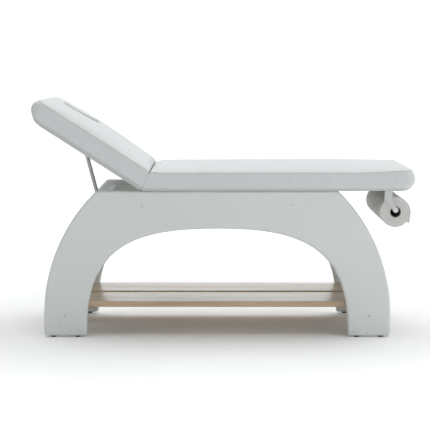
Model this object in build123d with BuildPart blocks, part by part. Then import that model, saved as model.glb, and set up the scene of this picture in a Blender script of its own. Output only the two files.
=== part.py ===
"""Treatment table: two arched side panels, a railed frame, a shelf of two boards, a seat pad, a backrest
that tilts on hinges and rests on a telescopic strut, and a holder for a paper roll.

Millimetres. +X runs from the head end to the foot end, +Y away from the front panel, +Z up.
The solids are made about the middle of the arch and are moved at the end, so that the origin lies on the
floor under the middle of the table's box.
"""

import os
from math import asin, cos, hypot, radians, sin, tan

from build123d import *

# Side panels
panel_top = 680.0
panel_thickness = 30.0
panel_edge_radius = 12.0
outer_arc_radius = 800.0
outer_arc_height = 100.0
leg_width = 198.0
arch_height = 504.0
arch_spring_height = 37.0
arch_crown_handle = 340.0
arch_leg_handle = 409.0
shoulder_radius = 18.0
foot_corner_radius = 14.0

# Foot glides
glide_radius = 12.0
glide_height = 5.0
glide_inset = 43.0
glide_stem_radius = 2.5
glide_stem_length = 12.0

# Rails
rail_thickness = 24.0
rail_height = 80.0
rail_drop = 28.0
upper_bolt_reach = 345.0
end_rail_reach = 530.0
lower_rail_thickness = 30.0
lower_rail_height = 66.0
lower_rail_centre_height = 100.0
lower_bolt_height = 100.0

# Shelf
shelf_overhang = 34.0
shelf_side_gap = 15.0
shelf_gap = 38.0
shelf_thickness = 28.0
shelf_edge_radius = 4.0

# Frame fasteners
bolt_radius = 4.0
bolt_head_radius = 6.0
bolt_head_height = 2.5
nut_radius = 6.0
nut_length = 18.0
nut_depth = 36.0
bolt_tail = 8.0
dowel_radius = 4.0
dowel_depth = 16.0
dowel_offset = 22.0
hole_play = 0.1

# Padded top
pad_width = 700.0
pad_overhang = 35.0
pad_crown_run = 50.0
pad_crown_radius = 3500.0
pad_crown_long_radius = 2000.0
pad_shoulder_share = 0.57
pad_shoulder_run = 45.0
pad_side_bulge = 4.0
pad_side_draw = 3.0
pad_end_bulge = 17.0
pad_corner_radius = 45.0
pad_rim_radius = 9.0
pad_seam_radius = 12.0
pad_end_seam_radius = 18.0
pad_side_radius = 180.0
pad_bulge_radius_share = 0.4
seat_length = 1252.0
seat_side_height = 85.0
seat_end_tuck = 34.0
seat_crowns = (22.0, 24.0, 12.0)
seat_crown_middle_share = 0.75
seat_bulge_share = 0.55
backrest_length = 631.0
backrest_side_height = 97.0
backrest_end_tuck = 58.0
backrest_crowns = (14.0, 34.0, 18.0)
backrest_crown_middle_share = 0.5
backrest_bulge_share = 0.66
board_thickness = 18.0
board_inset = 14.0
board_corner_radius = 32.0
board_play = 0.2

# Hinges, whose axis lies just below the boards
hinge_reach = 348.0
hinge_length = 90.0
hinge_panel_gap = 65.0
hinge_pin_radius = 2.0
hinge_pin_head_radius = 3.2
hinge_pin_head_height = 1.2
hinge_pin_play = 0.05
knuckle_radius = 4.0
knuckle_gap = 0.3
leaf_thickness = 2.0
leaf_width = 34.0
leaf_play = 0.5
leaf_screw_share = 0.6
seat_lift = 1.25
backrest_lift = 1.75
pad_setback = 6.0
board_setback = 14.0
seat_bevel = 24.0
backrest_bevel = 17.0
backrest_angle = 32.6

# Face plug
face_hole_reach = 439.0
face_hole_length = 192.0
face_hole_width = 160.0
face_plug_play = 0.5
face_seat_play = 0.3
face_ledge = 7.0
face_ledge_height = 6.0

# Backrest strut
strut_pin_reach = 326.0
strut_pin_drop = 15.3
strut_foot_reach = 520.0
strut_foot_height = 420.0
strut_tube_radius = 9.5
strut_tube_wall = 1.5
strut_tube_start = 14.0
strut_tube_end = 268.0
strut_eye_radius = 10.0
strut_eye_width = 16.0
strut_eye_plug = 10.0
strut_rod_radius = 7.0
strut_rod_play = 0.05
strut_rod_length = 262.0
strut_head_length = 10.0
strut_bush_length = 18.0
strut_bush_flange = 2.0
strut_pin_radius = 4.0
strut_pin_head_radius = 6.5
strut_pin_head_height = 2.0
strut_lug_width = 25.0
strut_lug_thickness = 12.0
strut_lug_top = 20.0
strut_lug_tail = 14.0
strut_slot_radius = 6.6
strut_slot_up = 4.4
strut_slot_down = 0.4
strut_lug_corner_radius = 10.0
bracket_wall = 3.0
bracket_ear_wall = 4.0
bracket_ear_play = 0.5
strut_plate_length = 40.0
strut_plate_width = 56.0
strut_plate_screw_share = 0.38
strut_foot_plate_height = 56.0
strut_rail_gap = 21.0
strut_ear_root_share = 0.8

# Paper roll and its holder
roll_reach = 818.0
roll_height = 579.6
roll_radius = 70.0
roll_core_radius = 25.0
roll_core_wall = 2.5
roll_tail_drop = 57.0
roll_tail_lean = 6.0
roll_tail_thickness = 1.0
roll_rod_radius = 12.5
roll_rod_play = 0.3
roll_side_play = 7.0
roll_plate_thickness = 3.0
roll_plate_width = 37.0
roll_plate_drop = 47.0
roll_plate_setback = 33.5
roll_plate_side_step = 2.0
roll_flange_width = 30.0
roll_eye_radius = 9.0
roll_flange_screw_shares = (-0.25, 0.25)

# Seat fixing brackets
angle_width = 32.0
angle_leg = 26.0
angle_thickness = 2.5
angle_pitch = 300.0
angle_count = 3
angle_middle = 100.0
angle_screw_share = 0.6

# Countersunk screws: shank radius, head radius, length
countersink_angle = 90.0
small_screw = (1.75, 3.5, 14.0)
rail_screw = (2.25, 4.5, 38.0)
shelf_screw = (2.25, 4.5, 50.0)
long_screw = (2.5, 5.0, 70.0)
rod_screw = (3.0, 6.0, 30.0)

# Places that follow from the sizes above
panel_outer_y = pad_width / 2 - pad_overhang
panel_inner_y = panel_outer_y - panel_thickness
panel_y = (panel_outer_y + panel_inner_y) / 2
leg_outer_x = outer_arc_radius
leg_inner_x = outer_arc_radius - leg_width
lower_bolt_reach = (leg_inner_x + leg_outer_x) / 2
shoulder_rise = panel_top - outer_arc_height
shoulder_x = (outer_arc_radius**2 - shoulder_rise**2) ** 0.5
rail_top = panel_top - rail_drop
rail_centre_height = rail_top - rail_height / 2
rail_inner_y = panel_inner_y - rail_thickness
end_rail_inner_x = end_rail_reach - rail_thickness
lower_rail_top = lower_rail_centre_height + lower_rail_height / 2
shelf_length = 2 * (lower_bolt_reach + shelf_overhang)
shelf_width = 2 * (panel_inner_y - shelf_side_gap)
shelf_board_width = (shelf_width - shelf_gap) / 2
shelf_board_y = (shelf_width + shelf_gap) / 4
shelf_top = lower_rail_top + shelf_thickness

hinge_x = -hinge_reach
hinge_z = panel_top - seat_lift
tilt = radians(backrest_angle)
seat_frame = Plane(origin=(hinge_x, 0, hinge_z), x_dir=(1, 0, 0), z_dir=(0, 0, 1))
backrest_frame = Plane(
    origin=(hinge_x, 0, hinge_z),
    x_dir=(-cos(tilt), 0, sin(tilt)),
    z_dir=(sin(tilt), 0, cos(tilt)),
)

# The strut's pins and its rail
strut_pin_x = hinge_x - cos(tilt) * strut_pin_reach + sin(tilt) * (backrest_lift - strut_pin_drop)
strut_pin_z = hinge_z + sin(tilt) * strut_pin_reach + cos(tilt) * (backrest_lift - strut_pin_drop)
strut_foot_x = -strut_foot_reach
strut_rail_x = strut_foot_x - strut_rail_gap
strut_rail_centre_height = strut_foot_height - rail_height / 2

pieces = {}


def side_plane(frame):
    """The plane through a board's middle that shows its length and its height."""
    return Plane(origin=frame.origin, x_dir=frame.x_dir, z_dir=-frame.y_dir)


def cross_plane(frame):
    """The plane at the hinge that shows a board's width and its height."""
    return Plane(origin=frame.origin, x_dir=frame.y_dir, z_dir=frame.x_dir)


def bars(plane, places, radius, length):
    """Round bars of one size that stand on a plane, one at each place."""
    with BuildPart() as group:
        with BuildSketch(plane):
            with Locations(*places):
                Circle(radius)
        extrude(amount=length)
    return group.part


def screws(seats, size):
    """Countersunk screws, each with its flat head on a seat plane and its shank below it."""
    shank_radius, head_radius, length = size
    head_height = head_radius - shank_radius
    with BuildPart() as group:
        with Locations(*seats):
            with Locations((0, 0, -head_height / 2)):
                Cone(shank_radius, head_radius, head_height)
            with Locations((0, 0, -(head_height + length) / 2)):
                Cylinder(shank_radius, length - head_height)
    return group.part


def mirrored_seat(seat):
    """A seat plane's mirror image on the other side of the table."""
    origin = seat.origin
    normal = seat.z_dir
    return Plane(origin=(origin.X, -origin.Y, origin.Z), z_dir=(normal.X, -normal.Y, normal.Z))


def board_seat(frame, x, y, height):
    """A screw seat that faces down from a board, at a place in the board's own frame."""
    return Plane(origin=frame.from_local_coords((x, y, height)), z_dir=-frame.z_dir)


def screw_holes(seats, size):
    """Cuts the countersunk holes for a group of screws, with play all round."""
    shank_radius, head_radius, length = size
    with Locations(*seats):
        CounterSinkHole(
            radius=shank_radius + hole_play,
            counter_sink_radius=head_radius + hole_play,
            depth=length + hole_play,
            counter_sink_angle=countersink_angle,
        )


# Side panels: one outline with an arc outside and a flattened arch inside
upper_bolt_places = [(side * upper_bolt_reach, rail_centre_height) for side in (-1, 1)]
lower_bolt_places = [(side * lower_bolt_reach, lower_bolt_height) for side in (-1, 1)]
upper_dowel_places = [(x, z + step) for x, z in upper_bolt_places for step in (-dowel_offset, dowel_offset)]
lower_dowel_places = [(x, z + step) for x, z in lower_bolt_places for step in (-dowel_offset, dowel_offset)]
strut_dowel_places = [
    (strut_rail_x - rail_thickness / 2, strut_rail_centre_height + step)
    for step in (-dowel_offset, 0, dowel_offset)
]
glide_places = [
    (side * (end + share * glide_inset), y)
    for side in (-1, 1)
    for end, share in ((leg_inner_x, 1), (leg_outer_x, -1))
    for y in (-panel_y, panel_y)
]
rail_screw_shares = (-0.9, -0.3, 0.3, 0.9)
rail_screw_seats = [
    Plane(origin=(share * end_rail_inner_x, -rail_inner_y, rail_centre_height), z_dir=(0, 1, 0))
    for share in rail_screw_shares
]
end_screw_seats = [
    Plane(
        origin=(side * end_rail_reach, -(rail_inner_y + rail_thickness / 2), rail_centre_height + step),
        z_dir=(side, 0, 0),
    )
    for side in (-1, 1)
    for step in (-dowel_offset, dowel_offset)
]
angle_xs = [angle_middle + angle_pitch * (index - (angle_count - 1) / 2) for index in range(angle_count)]
angle_panel_seats = [
    Plane(origin=(x, -(panel_inner_y - angle_thickness), panel_top - angle_leg * angle_screw_share), z_dir=(0, 1, 0))
    for x in angle_xs
]
angle_board_seats = [
    Plane(origin=(x, -(panel_inner_y - angle_leg * angle_screw_share), panel_top - angle_thickness), z_dir=(0, 0, -1))
    for x in angle_xs
]
half_arc = asin(shoulder_rise / outer_arc_radius) / 2
arc_middle = (outer_arc_radius * cos(half_arc), outer_arc_height + outer_arc_radius * sin(half_arc))

with BuildPart() as side_panel_front:
    with BuildSketch(Plane.XZ.offset(panel_inner_y)) as panel_outline:
        with BuildLine():
            Bezier(
                (0, arch_height),
                (arch_crown_handle, arch_height),
                (leg_inner_x, arch_spring_height + arch_leg_handle),
                (leg_inner_x, arch_spring_height),
            )
            Line((leg_inner_x, arch_spring_height), (leg_inner_x, glide_height))
            Line((leg_inner_x, glide_height), (leg_outer_x, glide_height))
            Line((leg_outer_x, glide_height), (leg_outer_x, outer_arc_height))
            ThreePointArc((leg_outer_x, outer_arc_height), arc_middle, (shoulder_x, panel_top))
            Line((shoulder_x, panel_top), (0, panel_top))
            Line((0, panel_top), (0, arch_height))
        make_face()
        mirror(about=Plane.YZ)
        fillet(panel_outline.vertices().group_by(Axis.Y)[0], foot_corner_radius)
        fillet(panel_outline.vertices().group_by(Axis.Y)[-1].sort_by(Axis.X)[0], shoulder_radius)
        fillet(panel_outline.vertices().group_by(Axis.Y)[-1].sort_by(Axis.X)[-1], shoulder_radius)
    extrude(amount=panel_thickness)
    fillet(side_panel_front.faces().filter_by(Plane.XZ).edges(), panel_edge_radius)
    with BuildSketch(Plane.XZ.offset(panel_inner_y)):
        with Locations(*upper_bolt_places, *lower_bolt_places):
            Circle(bolt_radius + hole_play)
    extrude(amount=panel_thickness, mode=Mode.SUBTRACT)
    with BuildSketch(Plane.XZ.offset(panel_inner_y)):
        with Locations(*upper_dowel_places, *lower_dowel_places, *strut_dowel_places):
            Circle(dowel_radius + hole_play)
    extrude(amount=dowel_depth + hole_play, mode=Mode.SUBTRACT)
    with BuildSketch(Plane.XY):
        with Locations(*glide_places):
            Circle(glide_stem_radius + hole_play)
    extrude(amount=glide_height + glide_stem_length + hole_play, mode=Mode.SUBTRACT)
    screw_holes(rail_screw_seats, rail_screw)
    screw_holes(angle_panel_seats, small_screw)
pieces["side_panel_front"] = side_panel_front.part

with BuildPart() as side_panel_back:
    mirror(side_panel_front.part, about=Plane.XZ)
pieces["side_panel_back"] = side_panel_back.part

# Foot glides: a nylon disc with a stem that is driven into the leg
with BuildPart() as foot_glides:
    with BuildSketch():
        with Locations(*glide_places):
            Circle(glide_radius)
    extrude(amount=glide_height)
    chamfer(foot_glides.edges().group_by(Axis.Z)[0], glide_height / 5)
    with BuildSketch(Plane.XY.offset(glide_height)):
        with Locations(*glide_places):
            Circle(glide_stem_radius)
    extrude(amount=glide_stem_length)
pieces["foot_glides"] = foot_glides.part

# Long rails, screwed to the panels' inner faces
with BuildPart() as long_rail_front:
    with BuildSketch(Plane.XZ.offset(rail_inner_y)):
        with Locations((0, rail_centre_height)):
            Rectangle(2 * end_rail_inner_x, rail_height)
    extrude(amount=rail_thickness)
    with BuildSketch(Plane.XZ.offset(rail_inner_y)):
        with Locations(*upper_bolt_places):
            Circle(bolt_radius + hole_play)
        with Locations(*upper_dowel_places):
            Circle(dowel_radius + hole_play)
    extrude(amount=rail_thickness, mode=Mode.SUBTRACT)
    screw_holes(rail_screw_seats, rail_screw)
    screw_holes(end_screw_seats, long_screw)
pieces["long_rail_front"] = long_rail_front.part

with BuildPart() as long_rail_back:
    mirror(long_rail_front.part, about=Plane.XZ)
pieces["long_rail_back"] = long_rail_back.part

with BuildPart() as rail_screws:
    add(screws(rail_screw_seats, rail_screw))
    mirror(about=Plane.XZ)
pieces["rail_screws"] = rail_screws.part


def cross_rail(x, half_length, thickness, height, centre_height, hole_height, bolted):
    """A rail from panel to panel, with dowel holes in its ends and, where bolted, nut bores near them."""
    with BuildPart() as rail:
        with BuildSketch(Plane.YZ.offset(x - thickness / 2)):
            with Locations((0, centre_height)):
                Rectangle(2 * half_length, height)
        extrude(amount=thickness)
        steps = (-dowel_offset, dowel_offset) if bolted else (-dowel_offset, 0, dowel_offset)
        for side in (-1, 1):
            with BuildSketch(Plane.XZ.offset(side * half_length)):
                with Locations(*[(x, hole_height + step) for step in steps]):
                    Circle(dowel_radius + hole_play)
            extrude(amount=-side * (dowel_depth + hole_play), mode=Mode.SUBTRACT)
            if bolted:
                with BuildSketch(Plane.XZ.offset(side * half_length)):
                    with Locations((x, hole_height)):
                        Circle(bolt_radius + hole_play)
                extrude(amount=-side * (nut_depth + bolt_tail + hole_play), mode=Mode.SUBTRACT)
                with BuildSketch(Plane.YZ.offset(x - thickness / 2)):
                    with Locations((side * (half_length - nut_depth), hole_height)):
                        Circle(nut_radius + hole_play)
                extrude(amount=thickness, mode=Mode.SUBTRACT)
    return rail.part


def frame_bolt_group(x, end_y, centre_height):
    """Two bolts, front and back, from the panels' outer faces to past the nuts in one rail."""
    tail_y = end_y - nut_depth - bolt_tail
    with BuildPart() as group:
        with BuildSketch(Plane.XZ.offset(tail_y)):
            with Locations((x, centre_height)):
                Circle(bolt_radius)
        extrude(amount=panel_outer_y - tail_y)
        with BuildSketch(Plane.XZ.offset(panel_outer_y)):
            with Locations((x, centre_height)):
                Circle(bolt_head_radius)
        extrude(amount=bolt_head_height)
        fillet(group.edges().group_by(Axis.Y)[0], bolt_head_height / 2)
        mirror(about=Plane.XZ)
    return group.part


def barrel_nut_group(x, end_y, centre_height):
    """Two barrel nuts across one rail, each with its bore for the bolt."""
    with BuildPart() as group:
        with BuildSketch(Plane.YZ.offset(x - nut_length / 2)):
            with Locations((end_y - nut_depth, centre_height), (nut_depth - end_y, centre_height)):
                Circle(nut_radius)
        extrude(amount=nut_length)
        with BuildSketch(Plane.XZ):
            with Locations((x, centre_height)):
                Circle(bolt_radius + hole_play)
        extrude(amount=end_y, both=True, mode=Mode.SUBTRACT)
    return group.part


def dowel_group(places, end_y):
    """Dowels front and back, from inside the panels to inside the rail that ends at end_y."""
    tail_y = end_y - dowel_depth
    with BuildPart() as group:
        add(bars(Plane.XZ.offset(tail_y), places, dowel_radius, panel_inner_y + dowel_depth - tail_y))
        mirror(about=Plane.XZ)
    return group.part


# Cross rails at the upper bolts and under the shelf
for end, side in (("head", -1), ("foot", 1)):
    pieces[f"upper_cross_rail_{end}"] = cross_rail(
        side * upper_bolt_reach,
        rail_inner_y,
        rail_thickness,
        rail_height,
        rail_centre_height,
        rail_centre_height,
        True,
    )
lower_rails = {
    end: cross_rail(
        side * lower_bolt_reach,
        panel_inner_y,
        lower_rail_thickness,
        lower_rail_height,
        lower_rail_centre_height,
        lower_bolt_height,
        True,
    )
    for end, side in (("head", -1), ("foot", 1))
}
with BuildPart() as frame_bolts:
    for side in (-1, 1):
        add(frame_bolt_group(side * upper_bolt_reach, rail_inner_y, rail_centre_height))
        add(frame_bolt_group(side * lower_bolt_reach, panel_inner_y, lower_bolt_height))
pieces["frame_bolts"] = frame_bolts.part

with BuildPart() as barrel_nuts:
    for side in (-1, 1):
        add(barrel_nut_group(side * upper_bolt_reach, rail_inner_y, rail_centre_height))
        add(barrel_nut_group(side * lower_bolt_reach, panel_inner_y, lower_bolt_height))
pieces["barrel_nuts"] = barrel_nuts.part

with BuildPart() as frame_dowels:
    add(dowel_group(upper_dowel_places, rail_inner_y))
    add(dowel_group(lower_dowel_places, panel_inner_y))
    add(dowel_group(strut_dowel_places, panel_inner_y))
pieces["frame_dowels"] = frame_dowels.part

# End cross rails, screwed to the ends of the long rails
with BuildPart() as end_cross_rail_foot:
    with BuildSketch(Plane.YZ.offset(end_rail_inner_x)):
        with Locations((0, rail_centre_height)):
            Rectangle(2 * panel_inner_y, rail_height)
    extrude(amount=rail_thickness)
    screw_holes(end_screw_seats[2:], long_screw)
    screw_holes([mirrored_seat(seat) for seat in end_screw_seats[2:]], long_screw)
pieces["end_cross_rail_foot"] = end_cross_rail_foot.part

with BuildPart() as end_cross_rail_head:
    mirror(end_cross_rail_foot.part, about=Plane.YZ)
pieces["end_cross_rail_head"] = end_cross_rail_head.part

with BuildPart() as end_rail_screws:
    add(screws(end_screw_seats, long_screw))
    mirror(about=Plane.XZ)
pieces["end_rail_screws"] = end_rail_screws.part

# Shelf: two boards on the lower cross rails, with a gap between them
shelf_screw_seats = [
    Plane(origin=(side * lower_bolt_reach, -shelf_board_y + step, shelf_top), z_dir=(0, 0, 1))
    for side in (-1, 1)
    for step in (-shelf_board_width / 3, shelf_board_width / 3)
]
with BuildPart() as shelf_board_front:
    with BuildSketch(Plane.XY.offset(lower_rail_top)):
        with Locations((0, -shelf_board_y)):
            Rectangle(shelf_length, shelf_board_width)
    extrude(amount=shelf_thickness)
    fillet(shelf_board_front.edges().filter_by(Axis.X), shelf_edge_radius)
    screw_holes(shelf_screw_seats, shelf_screw)
pieces["shelf_board_front"] = shelf_board_front.part

with BuildPart() as shelf_board_back:
    mirror(shelf_board_front.part, about=Plane.XZ)
pieces["shelf_board_back"] = shelf_board_back.part

for end, rail in lower_rails.items():
    with BuildPart() as lower_cross_rail:
        add(rail)
        screw_holes(shelf_screw_seats, shelf_screw)
        screw_holes([mirrored_seat(seat) for seat in shelf_screw_seats], shelf_screw)
    pieces[f"lower_cross_rail_{end}"] = lower_cross_rail.part

with BuildPart() as shelf_screws:
    add(screws(shelf_screw_seats, shelf_screw))
    mirror(about=Plane.XZ)
pieces["shelf_screws"] = shelf_screws.part


def cushion(frame, lift, length, side_height, bevel, end_tuck, bulge_share, crowns, middle_share):
    """A pad's outer shape: its side, cross and plan outlines, each extruded and intersected.

    The frame's X runs from the hinge to the pad's outer end. The top is crowned both ways, the outer end
    bulges between its underside and its seam, and the long sides draw in between the corners. The crowns
    are its rises over the seam near the hinge, at the middle share of its length and near the outer end.
    """
    slant = tan(radians(bevel))
    seam = lift + side_height
    near_crown, middle_crown, far_crown = crowns
    top = seam + max(crowns)
    half_width = pad_width / 2
    with BuildPart() as outer:
        with BuildSketch(side_plane(frame)):
            with BuildLine():
                FilletPolyline(
                    (pad_setback, lift),
                    (pad_setback + slant * side_height, seam),
                    (pad_setback + slant * side_height + pad_crown_run, seam + near_crown),
                    (middle_share * length, seam + middle_crown),
                    (length - pad_end_bulge - pad_crown_run, seam + far_crown),
                    (length - pad_end_bulge, seam),
                    (length, lift + bulge_share * side_height),
                    (length - end_tuck, lift),
                    radius=(
                        pad_rim_radius / 2,
                        pad_seam_radius,
                        side_height,
                        pad_crown_long_radius,
                        side_height,
                        pad_end_seam_radius,
                        pad_bulge_radius_share * side_height,
                        pad_rim_radius,
                    ),
                    close=True,
                )
            make_face()
        extrude(amount=half_width, both=True)
        with BuildSketch(cross_plane(frame)):
            with BuildLine():
                FilletPolyline(
                    (pad_side_bulge - half_width, lift - pad_rim_radius),
                    (half_width - pad_side_bulge, lift - pad_rim_radius),
                    (half_width, lift + side_height / 2),
                    (half_width - pad_side_bulge / 2, seam),
                    (half_width - pad_shoulder_run, seam + (top - seam) * pad_shoulder_share),
                    (0, top),
                    (pad_shoulder_run - half_width, seam + (top - seam) * pad_shoulder_share),
                    (pad_side_bulge / 2 - half_width, seam),
                    (-half_width, lift + side_height / 2),
                    radius=(
                        pad_rim_radius,
                        pad_rim_radius,
                        pad_side_radius,
                        pad_seam_radius,
                        side_height,
                        pad_crown_radius,
                        side_height,
                        pad_seam_radius,
                        pad_side_radius,
                    ),
                    close=True,
                )
            make_face()
        extrude(amount=length, mode=Mode.INTERSECT)
        with BuildSketch(frame) as plan:
            with BuildLine():
                ThreePointArc((0, half_width), (length / 2, half_width - pad_side_draw), (length, half_width))
                Line((length, half_width), (length, -half_width))
                ThreePointArc((length, -half_width), (length / 2, pad_side_draw - half_width), (0, -half_width))
                Line((0, -half_width), (0, half_width))
            make_face()
            fillet(plan.vertices().sort_by(Axis.X)[-2:], pad_corner_radius)
        extrude(amount=top, mode=Mode.INTERSECT)
    return outer.part


def board_outline(end, play):
    """A board's outline in its frame, from its set back edge at the hinge to its rounded outer end."""
    half_width = pad_width / 2 - pad_side_bulge - pad_side_draw - board_inset
    with BuildSketch() as outline:
        with Locations(((board_setback + end) / 2, 0)):
            Rectangle(end - board_setback + 2 * play, 2 * (half_width + play))
        fillet(outline.vertices().sort_by(Axis.X)[-2:], board_corner_radius + play)
    return outline.sketch


# Seat: a plywood board under a foam pad, and angle brackets that hold the board to the panels
hinge_ys = (hinge_panel_gap - panel_inner_y, panel_inner_y - hinge_panel_gap)
leaf_screw_x = (knuckle_radius + leaf_width) * leaf_screw_share
leaf_screw_steps = (-hinge_length / 3, 0, hinge_length / 3)
seat_leaf_seats = [
    Plane(origin=(hinge_x + leaf_screw_x, y + step, panel_top - leaf_thickness), z_dir=(0, 0, -1))
    for y in hinge_ys
    for step in leaf_screw_steps
]
roll_plate_reach = roll_reach - roll_plate_setback
roll_plate_inner_y = panel_y + roll_plate_side_step
roll_length = 2 * (roll_plate_inner_y - roll_side_play)
roll_flange_seats = [
    Plane(
        origin=(
            roll_plate_reach + share * roll_plate_width,
            -(roll_plate_inner_y - roll_flange_width / 2),
            panel_top - roll_plate_thickness,
        ),
        z_dir=(0, 0, -1),
    )
    for share in roll_flange_screw_shares
]
seat_board_seats = angle_board_seats + roll_flange_seats
seat_board_seats += [mirrored_seat(seat) for seat in seat_board_seats]
seat_board_seats += seat_leaf_seats

with BuildPart() as seat_board:
    with BuildSketch(seat_frame.offset(seat_lift)):
        add(board_outline(seat_length - seat_end_tuck - board_inset, 0))
    extrude(amount=board_thickness)
    screw_holes(seat_board_seats, small_screw)
pieces["seat_board"] = seat_board.part

with BuildPart() as seat_pad:
    add(
        cushion(
            seat_frame,
            seat_lift,
            seat_length,
            seat_side_height,
            seat_bevel,
            seat_end_tuck,
            seat_bulge_share,
            seat_crowns,
            seat_crown_middle_share,
        )
    )
    with BuildSketch(seat_frame.offset(seat_lift)):
        add(board_outline(seat_length - seat_end_tuck - board_inset, board_play))
    extrude(amount=board_thickness, mode=Mode.SUBTRACT)
pieces["seat_pad"] = seat_pad.part

with BuildPart() as seat_brackets:
    for x in angle_xs:
        with BuildSketch(Plane.YZ.offset(x - angle_width / 2)):
            with BuildLine():
                Polyline(
                    (-panel_inner_y, panel_top),
                    (-panel_inner_y, panel_top - angle_leg),
                    (angle_thickness - panel_inner_y, panel_top - angle_leg),
                    (angle_thickness - panel_inner_y, panel_top - angle_thickness),
                    (angle_leg - panel_inner_y, panel_top - angle_thickness),
                    (angle_leg - panel_inner_y, panel_top),
                    close=True,
                )
            make_face()
        extrude(amount=angle_width)
    screw_holes(angle_panel_seats, small_screw)
    screw_holes(angle_board_seats, small_screw)
    mirror(about=Plane.XZ)
pieces["seat_brackets"] = seat_brackets.part

with BuildPart() as seat_bracket_screws:
    add(screws(angle_panel_seats, small_screw))
    add(screws(angle_board_seats, small_screw))
    mirror(about=Plane.XZ)
pieces["seat_bracket_screws"] = seat_bracket_screws.part

# Backrest: the same build as the seat, with an oval face hole through board and pad
backrest_board_end = backrest_length - backrest_end_tuck - board_inset
backrest_leaf_seats = [
    board_seat(backrest_frame, leaf_screw_x, y + step, backrest_lift - leaf_thickness)
    for y in hinge_ys
    for step in leaf_screw_steps
]
head_screw_step = strut_plate_length * strut_plate_screw_share
head_bracket_seats = [
    board_seat(backrest_frame, strut_pin_reach + x_step, y_step, backrest_lift - bracket_wall)
    for x_step in (-head_screw_step, head_screw_step)
    for y_step in (-strut_plate_width / 3, strut_plate_width / 3)
]

with BuildPart() as backrest_board:
    with BuildSketch(backrest_frame.offset(backrest_lift)):
        add(board_outline(backrest_board_end, 0))
        with Locations((face_hole_reach, 0)):
            Ellipse(face_hole_length / 2 - face_ledge, face_hole_width / 2 - face_ledge, mode=Mode.SUBTRACT)
    extrude(amount=board_thickness)
    with BuildSketch(backrest_frame.offset(backrest_lift + face_ledge_height)):
        with Locations((face_hole_reach, 0)):
            Ellipse(face_hole_length / 2, face_hole_width / 2)
    extrude(amount=board_thickness, mode=Mode.SUBTRACT)
    screw_holes(backrest_leaf_seats + head_bracket_seats, small_screw)
pieces["backrest_board"] = backrest_board.part

backrest_form = cushion(
    backrest_frame,
    backrest_lift,
    backrest_length,
    backrest_side_height,
    backrest_bevel,
    backrest_end_tuck,
    backrest_bulge_share,
    backrest_crowns,
    backrest_crown_middle_share,
)
with BuildPart() as backrest_pad:
    add(backrest_form)
    with BuildSketch(backrest_frame.offset(backrest_lift)):
        add(board_outline(backrest_board_end, board_play))
    extrude(amount=board_thickness, mode=Mode.SUBTRACT)
    with BuildSketch(backrest_frame):
        with Locations((face_hole_reach, 0)):
            Ellipse(face_hole_length / 2, face_hole_width / 2)
    extrude(amount=backrest_length, mode=Mode.SUBTRACT)
pieces["backrest_pad"] = backrest_pad.part

# Face plug: an oval of foam on its own board, which rests on the ledge in the backrest board
with BuildPart() as face_plug:
    add(backrest_form)
    with BuildSketch(backrest_frame.offset(backrest_lift + board_thickness)):
        with Locations((face_hole_reach, 0)):
            Ellipse(face_hole_length / 2 - face_plug_play, face_hole_width / 2 - face_plug_play)
    extrude(amount=backrest_length, mode=Mode.INTERSECT)
pieces["face_plug"] = face_plug.part

with BuildPart() as face_plug_board:
    with BuildSketch(backrest_frame.offset(backrest_lift + face_ledge_height + face_seat_play)):
        with Locations((face_hole_reach, 0)):
            Ellipse(face_hole_length / 2 - face_plug_play, face_hole_width / 2 - face_plug_play)
    extrude(amount=board_thickness - face_ledge_height - face_seat_play)
pieces["face_plug_board"] = face_plug_board.part


def leaf_group(frame, lift, knuckle_spans):
    """The leaves of both hinges on one board, each with its knuckles and its screw holes."""
    inner_edge = knuckle_radius + leaf_play
    with BuildPart() as group:
        for y in hinge_ys:
            with BuildSketch(frame.offset(lift - leaf_thickness)):
                with Locations(((inner_edge + leaf_width) / 2, y)):
                    Rectangle(leaf_width - inner_edge, hinge_length)
                for low, high in knuckle_spans:
                    with Locations((inner_edge / 2, y + (low + high) / 2)):
                        Rectangle(inner_edge, high - low)
            extrude(amount=leaf_thickness)
            for low, high in knuckle_spans:
                with BuildSketch(side_plane(frame).offset(side_step(frame, y, low, high))):
                    Circle(knuckle_radius)
                extrude(amount=high - low)
        with BuildSketch(Plane(origin=frame.origin, z_dir=(0, 1, 0))):
            Circle(hinge_pin_radius + hinge_pin_play)
        extrude(amount=pad_width / 2, both=True, mode=Mode.SUBTRACT)
    return group.part


def side_step(frame, y, low, high):
    """How far a side plane is offset so that an extrusion by high minus low fills that span about y."""
    return -(y + high) if frame.y_dir.Y > 0 else y + low


# Hinges: two butt hinges under the boards, each with three knuckles on one pin
third = hinge_length / 6
with BuildPart() as hinge_fixed_leaves:
    add(leaf_group(seat_frame, seat_lift, ((-hinge_length / 2, -third), (third, hinge_length / 2))))
    screw_holes(seat_leaf_seats, small_screw)
pieces["hinge_fixed_leaves"] = hinge_fixed_leaves.part

with BuildPart() as hinge_moving_leaves:
    add(leaf_group(backrest_frame, backrest_lift, ((knuckle_gap - third, third - knuckle_gap),)))
    screw_holes(backrest_leaf_seats, small_screw)
pieces["hinge_moving_leaves"] = hinge_moving_leaves.part

with BuildPart() as hinge_pins:
    for y in hinge_ys:
        with Locations(Plane(origin=(hinge_x, y, hinge_z), z_dir=(0, 1, 0))):
            Cylinder(hinge_pin_radius, hinge_length)
            with Locations((0, 0, -(hinge_length + hinge_pin_head_height) / 2)):
                Cylinder(hinge_pin_head_radius, hinge_pin_head_height)
            with Locations((0, 0, (hinge_length + hinge_pin_head_height) / 2)):
                Cylinder(hinge_pin_head_radius, hinge_pin_head_height)
pieces["hinge_pins"] = hinge_pins.part

pieces["hinge_fixed_screws"] = screws(seat_leaf_seats, small_screw)
pieces["hinge_moving_screws"] = screws(backrest_leaf_seats, small_screw)

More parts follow.
